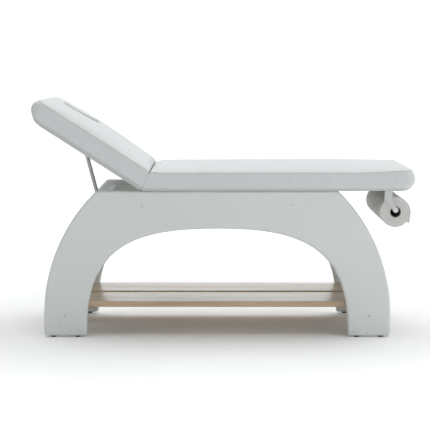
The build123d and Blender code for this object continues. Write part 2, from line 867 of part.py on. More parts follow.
# Strut: brackets under the backrest board and on the strut rail, with a pin through each
strut_length = hypot(strut_foot_x - strut_pin_x, strut_foot_height - strut_pin_z)
strut_direction = (
    (strut_foot_x - strut_pin_x) / strut_length,
    0,
    (strut_foot_height - strut_pin_z) / strut_length,
)
strut_axis = Plane(origin=(strut_pin_x, 0, strut_pin_z), x_dir=(0, 1, 0), z_dir=strut_direction)
strut_side = Plane(origin=(strut_pin_x, 0, strut_pin_z), x_dir=strut_direction, z_dir=(0, 1, 0))
strut_pin_local_z = backrest_lift - strut_pin_drop
head_ear_gap = strut_eye_width / 2 + bracket_ear_play
foot_ear_gap = strut_lug_thickness / 2 + bracket_ear_play


def bracket_ears(plane, pin_place, root_place, root_size, gap):
    """Two ears on a bracket's plate, each a hull round its root and the pin, on both sides of a gap."""
    with BuildPart() as ears:
        with BuildSketch(plane):
            with Locations(pin_place):
                Circle(strut_eye_radius)
            with Locations(root_place):
                Rectangle(*root_size)
            make_hull()
            with Locations(pin_place):
                Circle(strut_pin_radius + hinge_pin_play, mode=Mode.SUBTRACT)
        extrude(amount=gap + bracket_ear_wall, both=True)
        with BuildSketch(plane):
            with Locations(pin_place):
                Circle(strut_length)
        extrude(amount=gap, both=True, mode=Mode.SUBTRACT)
    return ears.part


def bracket_pin(x, z, gap):
    """A pin through both ears of a bracket, with a head outside each."""
    half_span = gap + bracket_ear_wall + hinge_pin_play
    with BuildPart() as pin:
        with Locations(Plane(origin=(x, 0, z), z_dir=(0, 1, 0))):
            Cylinder(strut_pin_radius, 2 * half_span)
            with Locations((0, 0, -(half_span + strut_pin_head_height / 2))):
                Cylinder(strut_pin_head_radius, strut_pin_head_height)
            with Locations((0, 0, half_span + strut_pin_head_height / 2)):
                Cylinder(strut_pin_head_radius, strut_pin_head_height)
    return pin.part


with BuildPart() as strut_head_bracket:
    with BuildSketch(backrest_frame.offset(backrest_lift - bracket_wall)):
        with Locations((strut_pin_reach, 0)):
            RectangleRounded(strut_plate_length, strut_plate_width, bracket_wall)
    extrude(amount=bracket_wall)
    screw_holes(head_bracket_seats, small_screw)
    add(
        bracket_ears(
            side_plane(backrest_frame),
            (strut_pin_reach, strut_pin_local_z),
            (strut_pin_reach, backrest_lift - bracket_wall / 2),
            (strut_plate_length / 2, bracket_wall),
            head_ear_gap,
        )
    )
pieces["strut_head_bracket"] = strut_head_bracket.part
pieces["strut_head_pin"] = bracket_pin(strut_pin_x, strut_pin_z, head_ear_gap)
pieces["strut_head_screws"] = screws(head_bracket_seats, small_screw)

foot_plate_z = strut_foot_height - strut_foot_plate_height / 2
foot_bracket_seats = [
    Plane(origin=(strut_rail_x + bracket_wall, y_step, foot_plate_z + z_step), z_dir=(1, 0, 0))
    for y_step in (-strut_plate_width / 3, strut_plate_width / 3)
    for z_step in (-strut_foot_plate_height / 3, strut_foot_plate_height / 3)
]
with BuildPart() as strut_foot_bracket:
    with BuildSketch(Plane.YZ.offset(strut_rail_x)):
        with Locations((0, foot_plate_z)):
            RectangleRounded(strut_plate_width, strut_foot_plate_height, bracket_wall)
    extrude(amount=bracket_wall)
    screw_holes(foot_bracket_seats, small_screw)
    add(
        bracket_ears(
            Plane.XZ,
            (strut_foot_x, strut_foot_height),
            (strut_rail_x + bracket_wall / 2, foot_plate_z),
            (bracket_wall, strut_foot_plate_height * strut_ear_root_share),
            foot_ear_gap,
        )
    )
pieces["strut_foot_bracket"] = strut_foot_bracket.part
pieces["strut_foot_pin"] = bracket_pin(strut_foot_x, strut_foot_height, foot_ear_gap)
pieces["strut_foot_screws"] = screws(foot_bracket_seats, small_screw)

with BuildPart() as strut_cross_rail:
    add(
        cross_rail(
            strut_rail_x - rail_thickness / 2,
            panel_inner_y,
            rail_thickness,
            rail_height,
            strut_rail_centre_height,
            strut_rail_centre_height,
            False,
        )
    )
    screw_holes(foot_bracket_seats, small_screw)
pieces["strut_cross_rail"] = strut_cross_rail.part

# Strut: an outer tube that swings on the head pin, and a rod that slides in it
tube_bore = strut_tube_radius - strut_tube_wall
with BuildPart() as strut_tube:
    with BuildSketch(strut_axis.offset(strut_tube_start)):
        Circle(strut_tube_radius)
        Circle(tube_bore, mode=Mode.SUBTRACT)
    extrude(amount=strut_tube_end - strut_tube_start)
pieces["strut_tube"] = strut_tube.part

with BuildPart() as strut_tube_eye:
    with BuildSketch(strut_side):
        Circle(strut_eye_radius)
        with Locations((strut_tube_start / 2, 0)):
            Rectangle(strut_tube_start, 2 * tube_bore)
    extrude(amount=strut_eye_width / 2, both=True)
    with BuildSketch(strut_axis.offset(strut_tube_start)):
        Circle(tube_bore - strut_rod_play)
    extrude(amount=strut_eye_plug)
    with BuildSketch(strut_side):
        Circle(strut_pin_radius + hinge_pin_play)
    extrude(amount=strut_eye_width, both=True, mode=Mode.SUBTRACT)
pieces["strut_tube_eye"] = strut_tube_eye.part

with BuildPart() as strut_guide_bush:
    with BuildSketch(strut_axis.offset(strut_tube_end - strut_bush_length)):
        Circle(tube_bore - strut_rod_play)
    extrude(amount=strut_bush_length)
    with BuildSketch(strut_axis.offset(strut_tube_end)):
        Circle(strut_tube_radius)
    extrude(amount=strut_bush_flange)
    with BuildSketch(strut_axis):
        Circle(strut_rod_radius + strut_rod_play)
    extrude(amount=strut_length, mode=Mode.SUBTRACT)
pieces["strut_guide_bush"] = strut_guide_bush.part

rod_top = strut_length - strut_rod_length
with BuildPart() as strut_rod_head:
    with BuildSketch(strut_axis.offset(rod_top)):
        Circle(tube_bore - strut_rod_play)
    extrude(amount=strut_head_length)
pieces["strut_rod_head"] = strut_rod_head.part

with BuildPart() as strut_rod:
    with BuildSketch(strut_axis.offset(rod_top + strut_head_length)):
        Circle(strut_rod_radius)
    extrude(amount=strut_rod_length - strut_head_length - strut_lug_top)
pieces["strut_rod"] = strut_rod.part

slot_length = strut_slot_up + strut_slot_down
with BuildPart() as strut_rod_lug:
    with BuildSketch(strut_side) as lug_outline:
        with Locations((strut_length + (strut_lug_tail - strut_lug_top) / 2, 0)):
            Rectangle(strut_lug_top + strut_lug_tail, strut_lug_width)
        fillet(lug_outline.vertices().sort_by(Axis.X)[-2:], strut_lug_corner_radius)
        with Locations((strut_length + (strut_slot_down - strut_slot_up) / 2, 0)):
            SlotCenterToCenter(slot_length, 2 * strut_slot_radius, mode=Mode.SUBTRACT)
    extrude(amount=strut_lug_thickness / 2, both=True)
pieces["strut_rod_lug"] = strut_rod_lug.part

# Paper roll holder: a bent strip at each end, a rod between them, and a screw into each end of the rod
roll_rod_z = roll_height + roll_core_radius - roll_core_wall - roll_rod_radius - roll_rod_play
rod_screw_seats = [
    Plane(
        origin=(roll_reach, side * (roll_plate_inner_y + roll_plate_thickness), roll_rod_z),
        z_dir=(0, side, 0),
    )
    for side in (-1, 1)
]
with BuildPart() as roll_bracket_front:
    with BuildSketch(Plane.XZ.offset(roll_plate_inner_y)):
        with Locations((roll_plate_reach, panel_top - roll_plate_drop)):
            Rectangle(roll_plate_width, roll_plate_thickness)
        with Locations((roll_reach, roll_rod_z)):
            Circle(roll_eye_radius)
        make_hull()
        with Locations((roll_plate_reach, panel_top - roll_plate_drop / 2)):
            Rectangle(roll_plate_width, roll_plate_drop)
    extrude(amount=roll_plate_thickness)
    with BuildSketch(Plane.XY.offset(panel_top - roll_plate_thickness)):
        with Locations((roll_plate_reach, -(roll_plate_inner_y - roll_flange_width / 2))):
            Rectangle(roll_plate_width, roll_flange_width)
    extrude(amount=roll_plate_thickness)
    screw_holes(rod_screw_seats[:1], rod_screw)
    screw_holes(roll_flange_seats, small_screw)
pieces["roll_bracket_front"] = roll_bracket_front.part

with BuildPart() as roll_bracket_back:
    mirror(roll_bracket_front.part, about=Plane.XZ)
pieces["roll_bracket_back"] = roll_bracket_back.part

with BuildPart() as roll_bracket_screws:
    add(screws(roll_flange_seats, small_screw))
    mirror(about=Plane.XZ)
pieces["roll_bracket_screws"] = roll_bracket_screws.part

with BuildPart() as roll_rod:
    with BuildSketch(Plane.XZ):
        with Locations((roll_reach, roll_rod_z)):
            Circle(roll_rod_radius)
    extrude(amount=roll_plate_inner_y, both=True)
    screw_holes(rod_screw_seats, rod_screw)
pieces["roll_rod"] = roll_rod.part
pieces["roll_rod_screws"] = screws(rod_screw_seats, rod_screw)

# Paper roll: a card core that hangs on the rod, the wound paper, and its loose end
with BuildPart() as roll_core:
    with BuildSketch(Plane.XZ):
        with Locations((roll_reach, roll_height)):
            Circle(roll_core_radius)
            Circle(roll_core_radius - roll_core_wall, mode=Mode.SUBTRACT)
    extrude(amount=roll_length / 2, both=True)
pieces["roll_core"] = roll_core.part

roll_edge = roll_reach + roll_radius
with BuildPart() as paper_roll:
    with BuildSketch(Plane.XZ):
        with Locations((roll_reach, roll_height)):
            Circle(roll_radius)
        with BuildLine():
            Polyline(
                (roll_edge, roll_height),
                (roll_edge - roll_tail_lean, roll_height - roll_tail_drop),
                (roll_edge - roll_tail_lean - roll_tail_thickness, roll_height - roll_tail_drop),
                (roll_edge - roll_tail_thickness, roll_height),
                close=True,
            )
        make_face()
        with Locations((roll_reach, roll_height)):
            Circle(roll_core_radius, mode=Mode.SUBTRACT)
    extrude(amount=roll_length / 2, both=True)
pieces["paper_roll"] = paper_roll.part

# The origin goes to the floor under the middle of the table's box
boxes = [piece.bounding_box() for piece in pieces.values()]
middle_x = (min(box.min.X for box in boxes) + max(box.max.X for box in boxes)) / 2

os.makedirs("parts", exist_ok=True)
for name, piece in pieces.items():
    placed = Pos(-middle_x, 0, 0) * piece
    placed.label = name
    export_step(placed, f"parts/{name}.step")
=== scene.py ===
import math

import bpy
import numpy as np
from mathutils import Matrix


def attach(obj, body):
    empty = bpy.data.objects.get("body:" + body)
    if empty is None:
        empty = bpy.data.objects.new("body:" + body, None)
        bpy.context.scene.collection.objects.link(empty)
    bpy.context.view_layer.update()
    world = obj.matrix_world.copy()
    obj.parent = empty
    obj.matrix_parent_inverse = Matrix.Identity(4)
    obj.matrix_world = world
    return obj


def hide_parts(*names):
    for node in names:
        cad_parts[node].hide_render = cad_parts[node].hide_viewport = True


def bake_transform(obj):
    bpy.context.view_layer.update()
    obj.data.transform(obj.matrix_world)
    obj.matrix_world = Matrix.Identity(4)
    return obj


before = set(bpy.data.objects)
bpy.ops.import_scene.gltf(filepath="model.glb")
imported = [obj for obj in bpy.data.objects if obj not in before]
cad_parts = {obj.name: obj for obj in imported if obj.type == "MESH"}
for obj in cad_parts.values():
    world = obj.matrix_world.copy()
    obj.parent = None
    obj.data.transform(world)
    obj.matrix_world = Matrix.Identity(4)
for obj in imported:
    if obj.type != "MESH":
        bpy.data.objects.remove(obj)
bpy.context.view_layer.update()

# Viewpoint and room. The table stands alone on a white studio floor. The view is level with the long side,
# from about six metres off and a little above the top, looking slightly down.
view_spot = (-0.0338, -6.3864, 1.2519)
view_pitch = math.radians(6.422)
view_yaw = 0.000967
view_focal_pixels = 1334.94
photo_pixels = 430
lens_data = bpy.data.cameras.new("long_side_view")
lens_data.sensor_width = 36.0
lens_data.lens = view_focal_pixels / photo_pixels * lens_data.sensor_width
lens_data.clip_start = 0.1
lens_data.clip_end = 400.0
view_camera = bpy.data.objects.new("long_side_view", lens_data)
view_camera.location = view_spot
view_camera.rotation_euler = (math.pi / 2 - view_pitch, 0, view_yaw)
bpy.context.collection.objects.link(view_camera)
bpy.context.scene.camera = view_camera
bpy.context.scene.view_settings.view_transform = "Standard"


def blank_material(name):
    """A material with nothing in it but its output; gives the material and its node tree."""
    material = bpy.data.materials.new(name)
    material.use_nodes = True
    nodes = material.node_tree.nodes
    for node in list(nodes):
        if node.type != "OUTPUT_MATERIAL":
            nodes.remove(node)
    return material, material.node_tree


def placed(tree, kind, sockets, **settings):
    """A shader node with its settings made; each of its sockets takes a value, or another node's socket."""
    node = tree.nodes.new("ShaderNode" + kind)
    for name, value in settings.items():
        setattr(node, name, value)
    for name, value in sockets.items():
        if isinstance(value, bpy.types.NodeSocket):
            tree.links.new(value, node.inputs[name])
        else:
            node.inputs[name].default_value = value
    return node


def sum_of(tree, operation, first, second=None):
    """A plain sum with one or two inputs, each a socket or a number."""
    sockets = {0: first} if second is None else {0: first, 1: second}
    return placed(tree, "Math", sockets, operation=operation).outputs[0]


def ramped(tree, value, start, end, low=0.0, high=1.0, kind="SMOOTHSTEP"):
    """A value spread from one level to another between two limits, softly or, as LINEAR, evenly."""
    limits = {"Value": value, "From Min": start, "From Max": end, "To Min": low, "To Max": high}
    return placed(tree, "MapRange", limits, interpolation_type=kind).outputs["Result"]


def drawn_place(tree, stretch=None, lean=0.0):
    """A point's place on its piece, tipped about Y and then drawn out where these are given."""
    place = placed(tree, "TexCoord", {}).outputs["Object"]
    if lean:
        place = placed(tree, "Mapping", {"Vector": place, "Rotation": (0, lean, 0)}).outputs[0]
    if stretch:
        place = placed(tree, "Mapping", {"Vector": place, "Scale": stretch}).outputs[0]
    return place


def backdrop_rays(tree):
    """One where a ray comes from the camera, from a mirror or through glass, and zero for all light."""
    rays = placed(tree, "LightPath", {}).outputs
    either = sum_of(tree, "MAXIMUM", rays["Is Camera Ray"], rays["Is Glossy Ray"])
    return sum_of(tree, "MAXIMUM", either, rays["Is Transmission Ray"])


floor_reach = 60.0
floor_white = (0.93, 0.933, 0.933, 1)
floor_lift = 0.06
far_floor_lift = 0.34
lift_start, lift_end = 1.0, 2.6
floor_mesh = bpy.data.meshes.new("studio_floor")
floor_mesh.from_pydata(
    [(x * floor_reach, y * floor_reach, 0) for x, y in ((-1, -1), (1, -1), (1, 1), (-1, 1))],
    [],
    [(0, 1, 2, 3)],
)
studio_floor = bpy.data.objects.new("studio_floor", floor_mesh)
bpy.context.collection.objects.link(studio_floor)
floor_paint, tree = blank_material("studio_floor_paint")
away = placed(tree, "VectorMath", {0: drawn_place(tree)}, operation="LENGTH").outputs["Value"]
lift = ramped(tree, away, lift_start, lift_end, floor_lift, far_floor_lift)
glow = placed(tree, "Emission", {"Strength": sum_of(tree, "MULTIPLY", backdrop_rays(tree), lift)})
matt = placed(tree, "BsdfDiffuse", {"Color": floor_white})
both = placed(tree, "AddShader", {0: matt.outputs[0], 1: glow.outputs[0]})
tree.links.new(both.outputs[0], tree.nodes["Material Output"].inputs["Surface"])
floor_mesh.materials.append(floor_paint)

sky_level = 0.285
sky_lean = 0.35
sky_white = 1.06
sky = bpy.data.worlds.new("white_room")
bpy.context.scene.world = sky
sky.use_nodes = True
tree = sky.node_tree
tree.nodes.clear()
heading = placed(tree, "SeparateXYZ", {0: placed(tree, "TexCoord", {}).outputs["Generated"]})
lit_sky = (sky_level * (1 - sky_lean), sky_level * (1 + sky_lean))
lean = ramped(tree, heading.outputs["X"], -1.0, 1.0, *lit_sky, "LINEAR")
strength = ramped(tree, backdrop_rays(tree), 0.0, 1.0, lean, sky_white, "LINEAR")
sky_glow = placed(tree, "Background", {"Color": (0.97, 0.995, 1.0, 1), "Strength": strength})
placed(tree, "OutputWorld", {"Surface": sky_glow.outputs[0]})


def lamp(name, kind, energy, spot, turn, **settings):
    """A lamp at a spot, turned by degrees about X, Y and Z."""
    data = bpy.data.lights.new(name, kind)
    data.energy = energy
    for setting, value in settings.items():
        setattr(data, setting, value)
    piece = bpy.data.objects.new(name, data)
    piece.location = spot
    piece.rotation_euler = [math.radians(angle) for angle in turn]
    bpy.context.collection.objects.link(piece)


lamp("overhead_softbox", "SUN", 2.16, (0, 0, 0), (-14, 5, 0), angle=math.radians(66))
lamp("right_softbox", "AREA", 14.0, (3.6, -2.9, 1.9), (68, 0, 50), shape="RECTANGLE", size=3.0, size_y=2.4)
lamp("front_softbox", "AREA", 46.0, (2.2, -6.6, 1.3), (88, 0, 0), shape="RECTANGLE", size=3.6, size_y=1.6)

# Side panels: two boards of MDF, sawn to an arch, rounded on every edge and sprayed in satin white lacquer.
# Each is one piece; bolts hold it to the cross rails and nylon glides keep its feet off the floor.
panel_colour = (0.732, 0.766, 0.756, 1)
panel_scuff_height = 0.11
scuff_grey = (0.30, 0.29, 0.27, 1)
scuff_strength = 0.45


def group_of(name, inputs, outputs):
    """An empty shader node group whose sockets are named with their kinds; gives it, its way in and out."""
    group = bpy.data.node_groups.new(name, "ShaderNodeTree")
    for way, sockets in (("INPUT", inputs), ("OUTPUT", outputs)):
        for socket, kind in sockets.items():
            group.interface.new_socket(name=socket, in_out=way, socket_type="NodeSocket" + kind)
    return group, group.nodes.new("NodeGroupInput").outputs, group.nodes.new("NodeGroupOutput").inputs


def put_out(group, way_out, **results):
    """Links what a group works out to its way out."""
    for name, socket in results.items():
        group.links.new(socket, way_out[name])


def noise_of(tree, place, scale, detail, distortion=0.0):
    """Soft noise over a place."""
    sockets = {"Vector": place, "Scale": scale, "Detail": detail, "Distortion": distortion}
    return placed(tree, "TexNoise", sockets).outputs["Fac"]


def mixed(tree, factor, first, second, blend="MIX"):
    """Two colours mixed by a factor."""
    sockets = {0: factor, 6: first, 7: second}
    return placed(tree, "Mix", sockets, data_type="RGBA", blend_type=blend).outputs[2]


# Spray mottle: broad soft unevenness in tone, and the fine orange peel that a spray gun leaves
spray_mottle, way_in, way_out = group_of(
    "spray_mottle",
    {"Vector": "Vector", "Colour": "Color", "Shade": "Float", "Broad Scale": "Float", "Peel Scale": "Float"},
    {"Colour": "Color", "Mask": "Float", "Peel": "Float"},
)
broad = noise_of(spray_mottle, way_in["Vector"], way_in["Broad Scale"], 3.0)
tone = sum_of(spray_mottle, "SUBTRACT", 1.0, sum_of(spray_mottle, "MULTIPLY", broad, way_in["Shade"]))
darker = mixed(spray_mottle, 1.0, way_in["Colour"], tone, "MULTIPLY")
peel = noise_of(spray_mottle, way_in["Vector"], way_in["Peel Scale"], 1.0)
put_out(spray_mottle, way_out, Colour=darker, Mask=broad, Peel=peel)

# Floor scuffs: faint grey rub marks that fade out a hand's width above the floor
floor_scuffs, way_in, way_out = group_of(
    "floor_scuffs",
    {"Vector": "Vector", "Height": "Float", "Colour": "Color"},
    {"Colour": "Color"},
)
apart = placed(floor_scuffs, "SeparateXYZ", {0: way_in["Vector"]})
low = ramped(floor_scuffs, apart.outputs["Z"], 0.0, way_in["Height"], 1.0, 0.0, "LINEAR")
rub = noise_of(floor_scuffs, way_in["Vector"], 55.0, 6.0, 0.6)
mask = sum_of(floor_scuffs, "MULTIPLY", low, ramped(floor_scuffs, rub, 0.56, 0.76, kind="LINEAR"))
grimy = sum_of(floor_scuffs, "MULTIPLY", mask, scuff_strength)
grime = mixed(floor_scuffs, grimy, way_in["Colour"], scuff_grey)
put_out(floor_scuffs, way_out, Colour=grime)


def lit_surface(tree, colour, roughness, relief, metallic=0.0, **constants):
    """The Principled shader of a material, with its patterns linked and its constants on its own sockets."""
    sockets = {"Base Color": colour, "Roughness": roughness, "Metallic": metallic, "Normal": relief}
    sockets.update((name.replace("_", " "), value) for name, value in constants.items())
    shader = placed(tree, "BsdfPrincipled", sockets)
    tree.links.new(shader.outputs[0], tree.nodes["Material Output"].inputs["Surface"])
    return shader


def raised(tree, height, strength, distance, **under):
    """A height pattern that stands up from the surface as a bump, over another bump where one is given."""
    sockets = {"Height": height, "Strength": strength, "Distance": distance, **under}
    return placed(tree, "Bump", sockets).outputs[0]


def rough_span(tree, mask, low, high):
    """Spreads the middle part of a noise over a span of roughness."""
    return ramped(tree, mask, 0.3, 0.7, low, high, "LINEAR")


def mottled_finish(
    name, colour, mottle, rough, relief, stretch=None, lean=0.0, rough_by="Mask", scuffs=0.0, **constants
):
    """A material of one colour with spray mottle on it. Mottle is its shade, broad scale and peel scale,
    rough one roughness or a span of it, relief the peel's strength and height, and scuffs their height."""
    material, tree = blank_material(name)
    place = drawn_place(tree, stretch, lean)
    values = dict(zip(("Shade", "Broad Scale", "Peel Scale"), mottle), Vector=place, Colour=colour)
    spots = placed(tree, "Group", values, node_tree=spray_mottle).outputs
    shown = spots["Colour"]
    if scuffs:
        values = {"Vector": place, "Height": scuffs, "Colour": shown}
        shown = placed(tree, "Group", values, node_tree=floor_scuffs).outputs["Colour"]
    if isinstance(rough, tuple):
        rough = rough_span(tree, spots[rough_by], *rough)
    lit_surface(tree, shown, rough, raised(tree, spots["Peel"], *relief), **constants)
    return material


def dress(material, *names):
    """Puts a material on CAD pieces whose shape is right."""
    for name in names:
        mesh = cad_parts[name].data
        mesh.materials.clear()
        mesh.materials.append(material)


panel_lacquer = mottled_finish(
    "panel_lacquer",
    panel_colour,
    mottle=(0.035, 5.0, 260.0),
    rough=(0.36, 0.50),
    relief=(0.12, 0.0006),
    scuffs=panel_scuff_height,
    Coat_Weight=0.12,
    Coat_Roughness=0.25,
)
dress(panel_lacquer, "side_panel_front", "side_panel_back")

# Frame fasteners: domed zinc-plated bolt heads on the panels, barrel nuts, dowels and countersunk screws.
# They are turned or stamped steel and show fine blotches in their plating; the dowels are fluted beech.
zinc_colour = (0.52, 0.535, 0.54, 1)
zinc_steel = mottled_finish(
    "zinc_steel", zinc_colour, (0.30, 160.0, 1500.0), rough=(0.30, 0.52), relief=(0.2, 0.0002), metallic=1.0
)
dress(zinc_steel, "frame_bolts", "barrel_nuts", "rail_screws", "end_rail_screws", "shelf_screws")
dress(zinc_steel, "seat_bracket_screws", "hinge_fixed_screws", "hinge_moving_screws", "hinge_pins")
dress(zinc_steel, "strut_head_screws", "strut_foot_screws", "strut_head_pin", "strut_foot_pin")
dress(zinc_steel, "roll_rod_screws", "roll_bracket_screws")

# Rails: planed beech bars between the panels, lacquered white like them, with the grain just telling
# through. Dowels and bolts hold them to the panels, and screws hold them to each other.
rail_finish = {
    "light": (0.79, 0.815, 0.80, 1),
    "dark": (0.73, 0.755, 0.74, 1),
    "streak": 0.5,
    "roughness": 0.46,
}

# Wood grain: bands and streaks drawn out along one axis, with short dark pores between them
wood_grain, way_in, way_out = group_of(
    "wood_grain",
    {"Vector": "Vector", "Light": "Color", "Dark": "Color", "Streak": "Float", "Pores": "Float"},
    {"Colour": "Color", "Mask": "Float", "Height": "Float"},
)
bands = noise_of(wood_grain, way_in["Vector"], 9.0, 5.0, 0.9)
streaks = noise_of(wood_grain, way_in["Vector"], 48.0, 4.0)
banded = placed(wood_grain, "Mix", {0: way_in["Streak"], 2: bands, 3: streaks}).outputs[0]
sharper = ramped(wood_grain, banded, 0.34, 0.68, kind="LINEAR")
wood_tone = mixed(wood_grain, sharper, way_in["Light"], way_in["Dark"])
pores = noise_of(wood_grain, way_in["Vector"], 170.0, 2.0)
pore_mask = ramped(wood_grain, pores, 0.60, 0.72, kind="LINEAR")
pore_amount = sum_of(wood_grain, "MULTIPLY", pore_mask, way_in["Pores"])
pore_tone = mixed(wood_grain, pore_amount, wood_tone, way_in["Dark"])
sunk = sum_of(wood_grain, "SUBTRACT", 1.0, pore_mask)
put_out(wood_grain, way_out, Colour=pore_tone, Mask=sharper, Height=sunk)


def grained_wood(
    name, stretch, light, dark, streak, roughness, turn=0.0, pores=0.6, layered=None, **constants
):
    """A wood material whose grain runs along the axis with the smallest stretch; turn tips it about Y, and
    layered works over its colour."""
    material, tree = blank_material(name)
    values = {"Vector": drawn_place(tree, stretch, turn), "Light": light, "Dark": dark}
    values.update({"Streak": streak, "Pores": pores})
    grain = placed(tree, "Group", values, node_tree=wood_grain).outputs
    colour = layered(tree, grain["Colour"], turn) if layered else grain["Colour"]
    rough = rough_span(tree, grain["Mask"], roughness - 0.07, roughness + 0.1)
    lit_surface(tree, colour, rough, raised(tree, grain["Height"], 0.25, 0.0004), **constants)
    return material


rail_along = grained_wood("rail_along", (0.07, 1.0, 1.0), **rail_finish)
rail_across = grained_wood("rail_across", (1.0, 0.07, 1.0), **rail_finish)
dress(rail_along, "long_rail_front", "long_rail_back")
dress(rail_across, "upper_cross_rail_head", "upper_cross_rail_foot", "end_cross_rail_head")
dress(rail_across, "end_cross_rail_foot", "strut_cross_rail")
dress(rail_across, "lower_cross_rail_head", "lower_cross_rail_foot")
dowel_light = (0.66, 0.52, 0.36, 1)
dowel_dark = (0.42, 0.29, 0.17, 1)
dress(grained_wood("bare_beech", (1.0, 0.07, 1.0), dowel_light, dowel_dark, 0.5, 0.6), "frame_dowels")

# Shelf: two wide boards of brown ash with eased edges, matt varnished, laid on the lower cross rails and
# screwed to them. A finger's width stays open between the boards.
shelf_light = (0.63, 0.465, 0.30, 1)
shelf_dark = (0.39, 0.255, 0.14, 1)
shelf_roughness = 0.30
varnish = {"Coat_Weight": 0.8, "Coat_Roughness": 0.22}
ash_along = grained_wood(
    "ash_along", (0.045, 1.0, 1.0), shelf_light, shelf_dark, 0.6, shelf_roughness, pores=0.8, **varnish
)
dress(ash_along, "shelf_board_front", "shelf_board_back")

# Boards under the pads: birch plywood under a thin coat of white paint, with its glue lines showing on the
# edges. The face plug stands on a small board of the same sheet.
ply_light = (0.80, 0.80, 0.78, 1)
ply_dark = (0.70, 0.69, 0.66, 1)
ply_roughness = 0.6
ply_pitch = 0.002
backrest_tilt = math.radians(32.6)


def ply_layers(tree, colour, turn):
    """Layers of light and dark across the board's thickness, multiplied over its colour."""
    wave = {"Vector": drawn_place(tree, lean=turn), "Scale": math.pi / (10 * ply_pitch), "Distortion": 0.2}
    layers = placed(tree, "TexWave", wave, bands_direction="Z").outputs["Fac"]
    return mixed(tree, 1.0, colour, ramped(tree, layers, 0.0, 0.35, 0.55, 1.0, "LINEAR"), "MULTIPLY")


def plywood(name, turn):
    """Painted ply: faint grain along the board, and its layers on the edges."""
    finish = (ply_light, ply_dark, 0.35, ply_roughness)
    return grained_wood(name, (0.08, 1.0, 14.0), *finish, turn, pores=0.3, layered=ply_layers)


dress(plywood("birch_ply_level", 0.0), "seat_board")
dress(plywood("birch_ply_tilted", -backrest_tilt), "backrest_board", "face_plug_board")

# Padded top: foam on plywood under a white coated cover, sewn along its upper edge and stapled under the
# board. The seat pad rides the frame. The backrest pad rides the backrest; both give way where they meet.
hinge_spot = np.array((-0.377370, 0.0, 0.67875))
contact_lean = math.radians(25)
contact_gap = 0.0004
notch_opening = 0.0035
pad_half_width = 0.350
pad_low_draw = 0.004
pad_high_draw = 0.002
pad_middle_draw = 0.003
near_corner = 0.002
far_corner = 0.045
rim_radius = 0.012
meeting_rim = 0.006
board_thickness = 0.018
board_margin = 0.014
board_corner = 0.032
board_clearance = 0.0005
pocket_step = 0.001
notch_start = 0.72
hinge_hold_end = 0.045
hinge_hold_run = 0.035
pad_grid = 0.0145
seam_lift_power = 1.3
seam_lift_fade = 0.7
corner_powers = (7.0, 2.0)
firm_hold, free_hold = 0.55, 0.35
free_depth = 0.02
edge_steps = np.array((0, 1.5, 3, 6, 10, 16, 24, 34, 45)) / 1000
drop_steps = np.array((1.5, 3, 6, 10, 17, 27, 39, 51, 62, 70, 76)) / 76
seat_pad_size = {
    "length": 1.252,
    "lift": 0.00125,
    "rise": 0.085,
    "tuck": 0.034,
    "full": 0.55,
    "draw": 0.017,
    "lean": contact_lean,
    "board": (0.014, 1.204),
    "lifts": ((0.013, 0.24), (0.004, 0.08)),
    "crowns": (0.025, 0.031, 0.018),
    "peak": 0.70,
    "bend": 2.0,
    "springs": (0.055, 0.055, 0.100),
    "roundness": 2.2,
    "edge_share": 0.40,
}
backrest_pad_size = {
    "length": 0.627,
    "lift": 0.00175,
    "rise": 0.097,
    "tuck": 0.054,
    "full": 0.66,
    "draw": 0.017,
    "lean": backrest_tilt - contact_lean,
    "board": (0.014, 0.559),
    "lifts": ((0.003, 0.12), (0.0, 0.08)),
    "crowns": (0.016, 0.0375, 0.020),
    "peak": 0.52,
    "bend": 1.3,
    "springs": (0.040, 0.065, 0.070),
    "roundness": 3.2,
    "edge_share": 0.50,
}
face_hole_x = 0.439
face_hole_half = (0.096, 0.080)
face_rim_radius = 0.011
face_rim_insets = (0.014, 0.009, 0.006, 0.0035, 0.0015, 0.0005)
face_rim_drop = 0.0012
plug_gap = 0.0012


def level_spot(x, y, height):
    """Points of the seat pad's own frame, which starts at the hinge, set in the room."""
    return np.stack([hinge_spot[0] + x, hinge_spot[1] + y, hinge_spot[2] + height], axis=-1)


def tilted_spot(x, y, height):
    """Points of the backrest's own frame: from the hinge out along the tilted board, and square to it."""
    across, up = math.cos(backrest_tilt), math.sin(backrest_tilt)
    room_x = hinge_spot[0] - across * x + up * height
    room_z = hinge_spot[2] + up * x + across * height
    return np.stack([room_x, hinge_spot[1] - y, room_z], axis=-1)


def line_places(length, spacing):
    """Distances of grid lines over a length: close together along both edges, and even between them."""
    count = 2 + round((length - 2 * edge_steps[-1]) / spacing)
    inner = np.linspace(edge_steps[-1], length - edge_steps[-1], count)
    return np.concatenate([edge_steps, inner[1:-1], (length - edge_steps)[::-1]])


def rounded_grid(lines_x, lines_y, near_radius, far_radius):
    """Grid points in a rectangle with round corners: every ring of lines keeps its distance from the edge,
    and next to a corner its points slide on to an arc about the corner's centre."""
    length, width = lines_x[-1], lines_y[-1]
    grid_x, grid_y = np.meshgrid(lines_x, lines_y, indexing="ij")
    from_end = np.minimum(grid_x, length - grid_x)
    from_side = np.minimum(grid_y, width - grid_y)
    radius = np.where(grid_x < length / 2, near_radius, far_radius)
    inset = np.minimum(from_end, from_side)
    along = np.abs(from_end - from_side)
    arc = radius - inset
    turn = math.pi / 4 * np.clip(1 - along / np.maximum(arc, pocket_step / 100), 0, 1)
    far_leg = radius - arc * np.sin(turn)
    near_leg = radius - arc * np.cos(turn)
    sideways = from_end > from_side
    end_gap = np.where(along < arc, np.where(sideways, far_leg, near_leg), from_end)
    side_gap = np.where(along < arc, np.where(sideways, near_leg, far_leg), from_side)
    x = np.where(grid_x < length / 2, end_gap, length - end_gap)
    y = np.where(grid_y < width / 2, side_gap, width - side_gap) - width / 2
    return x, y


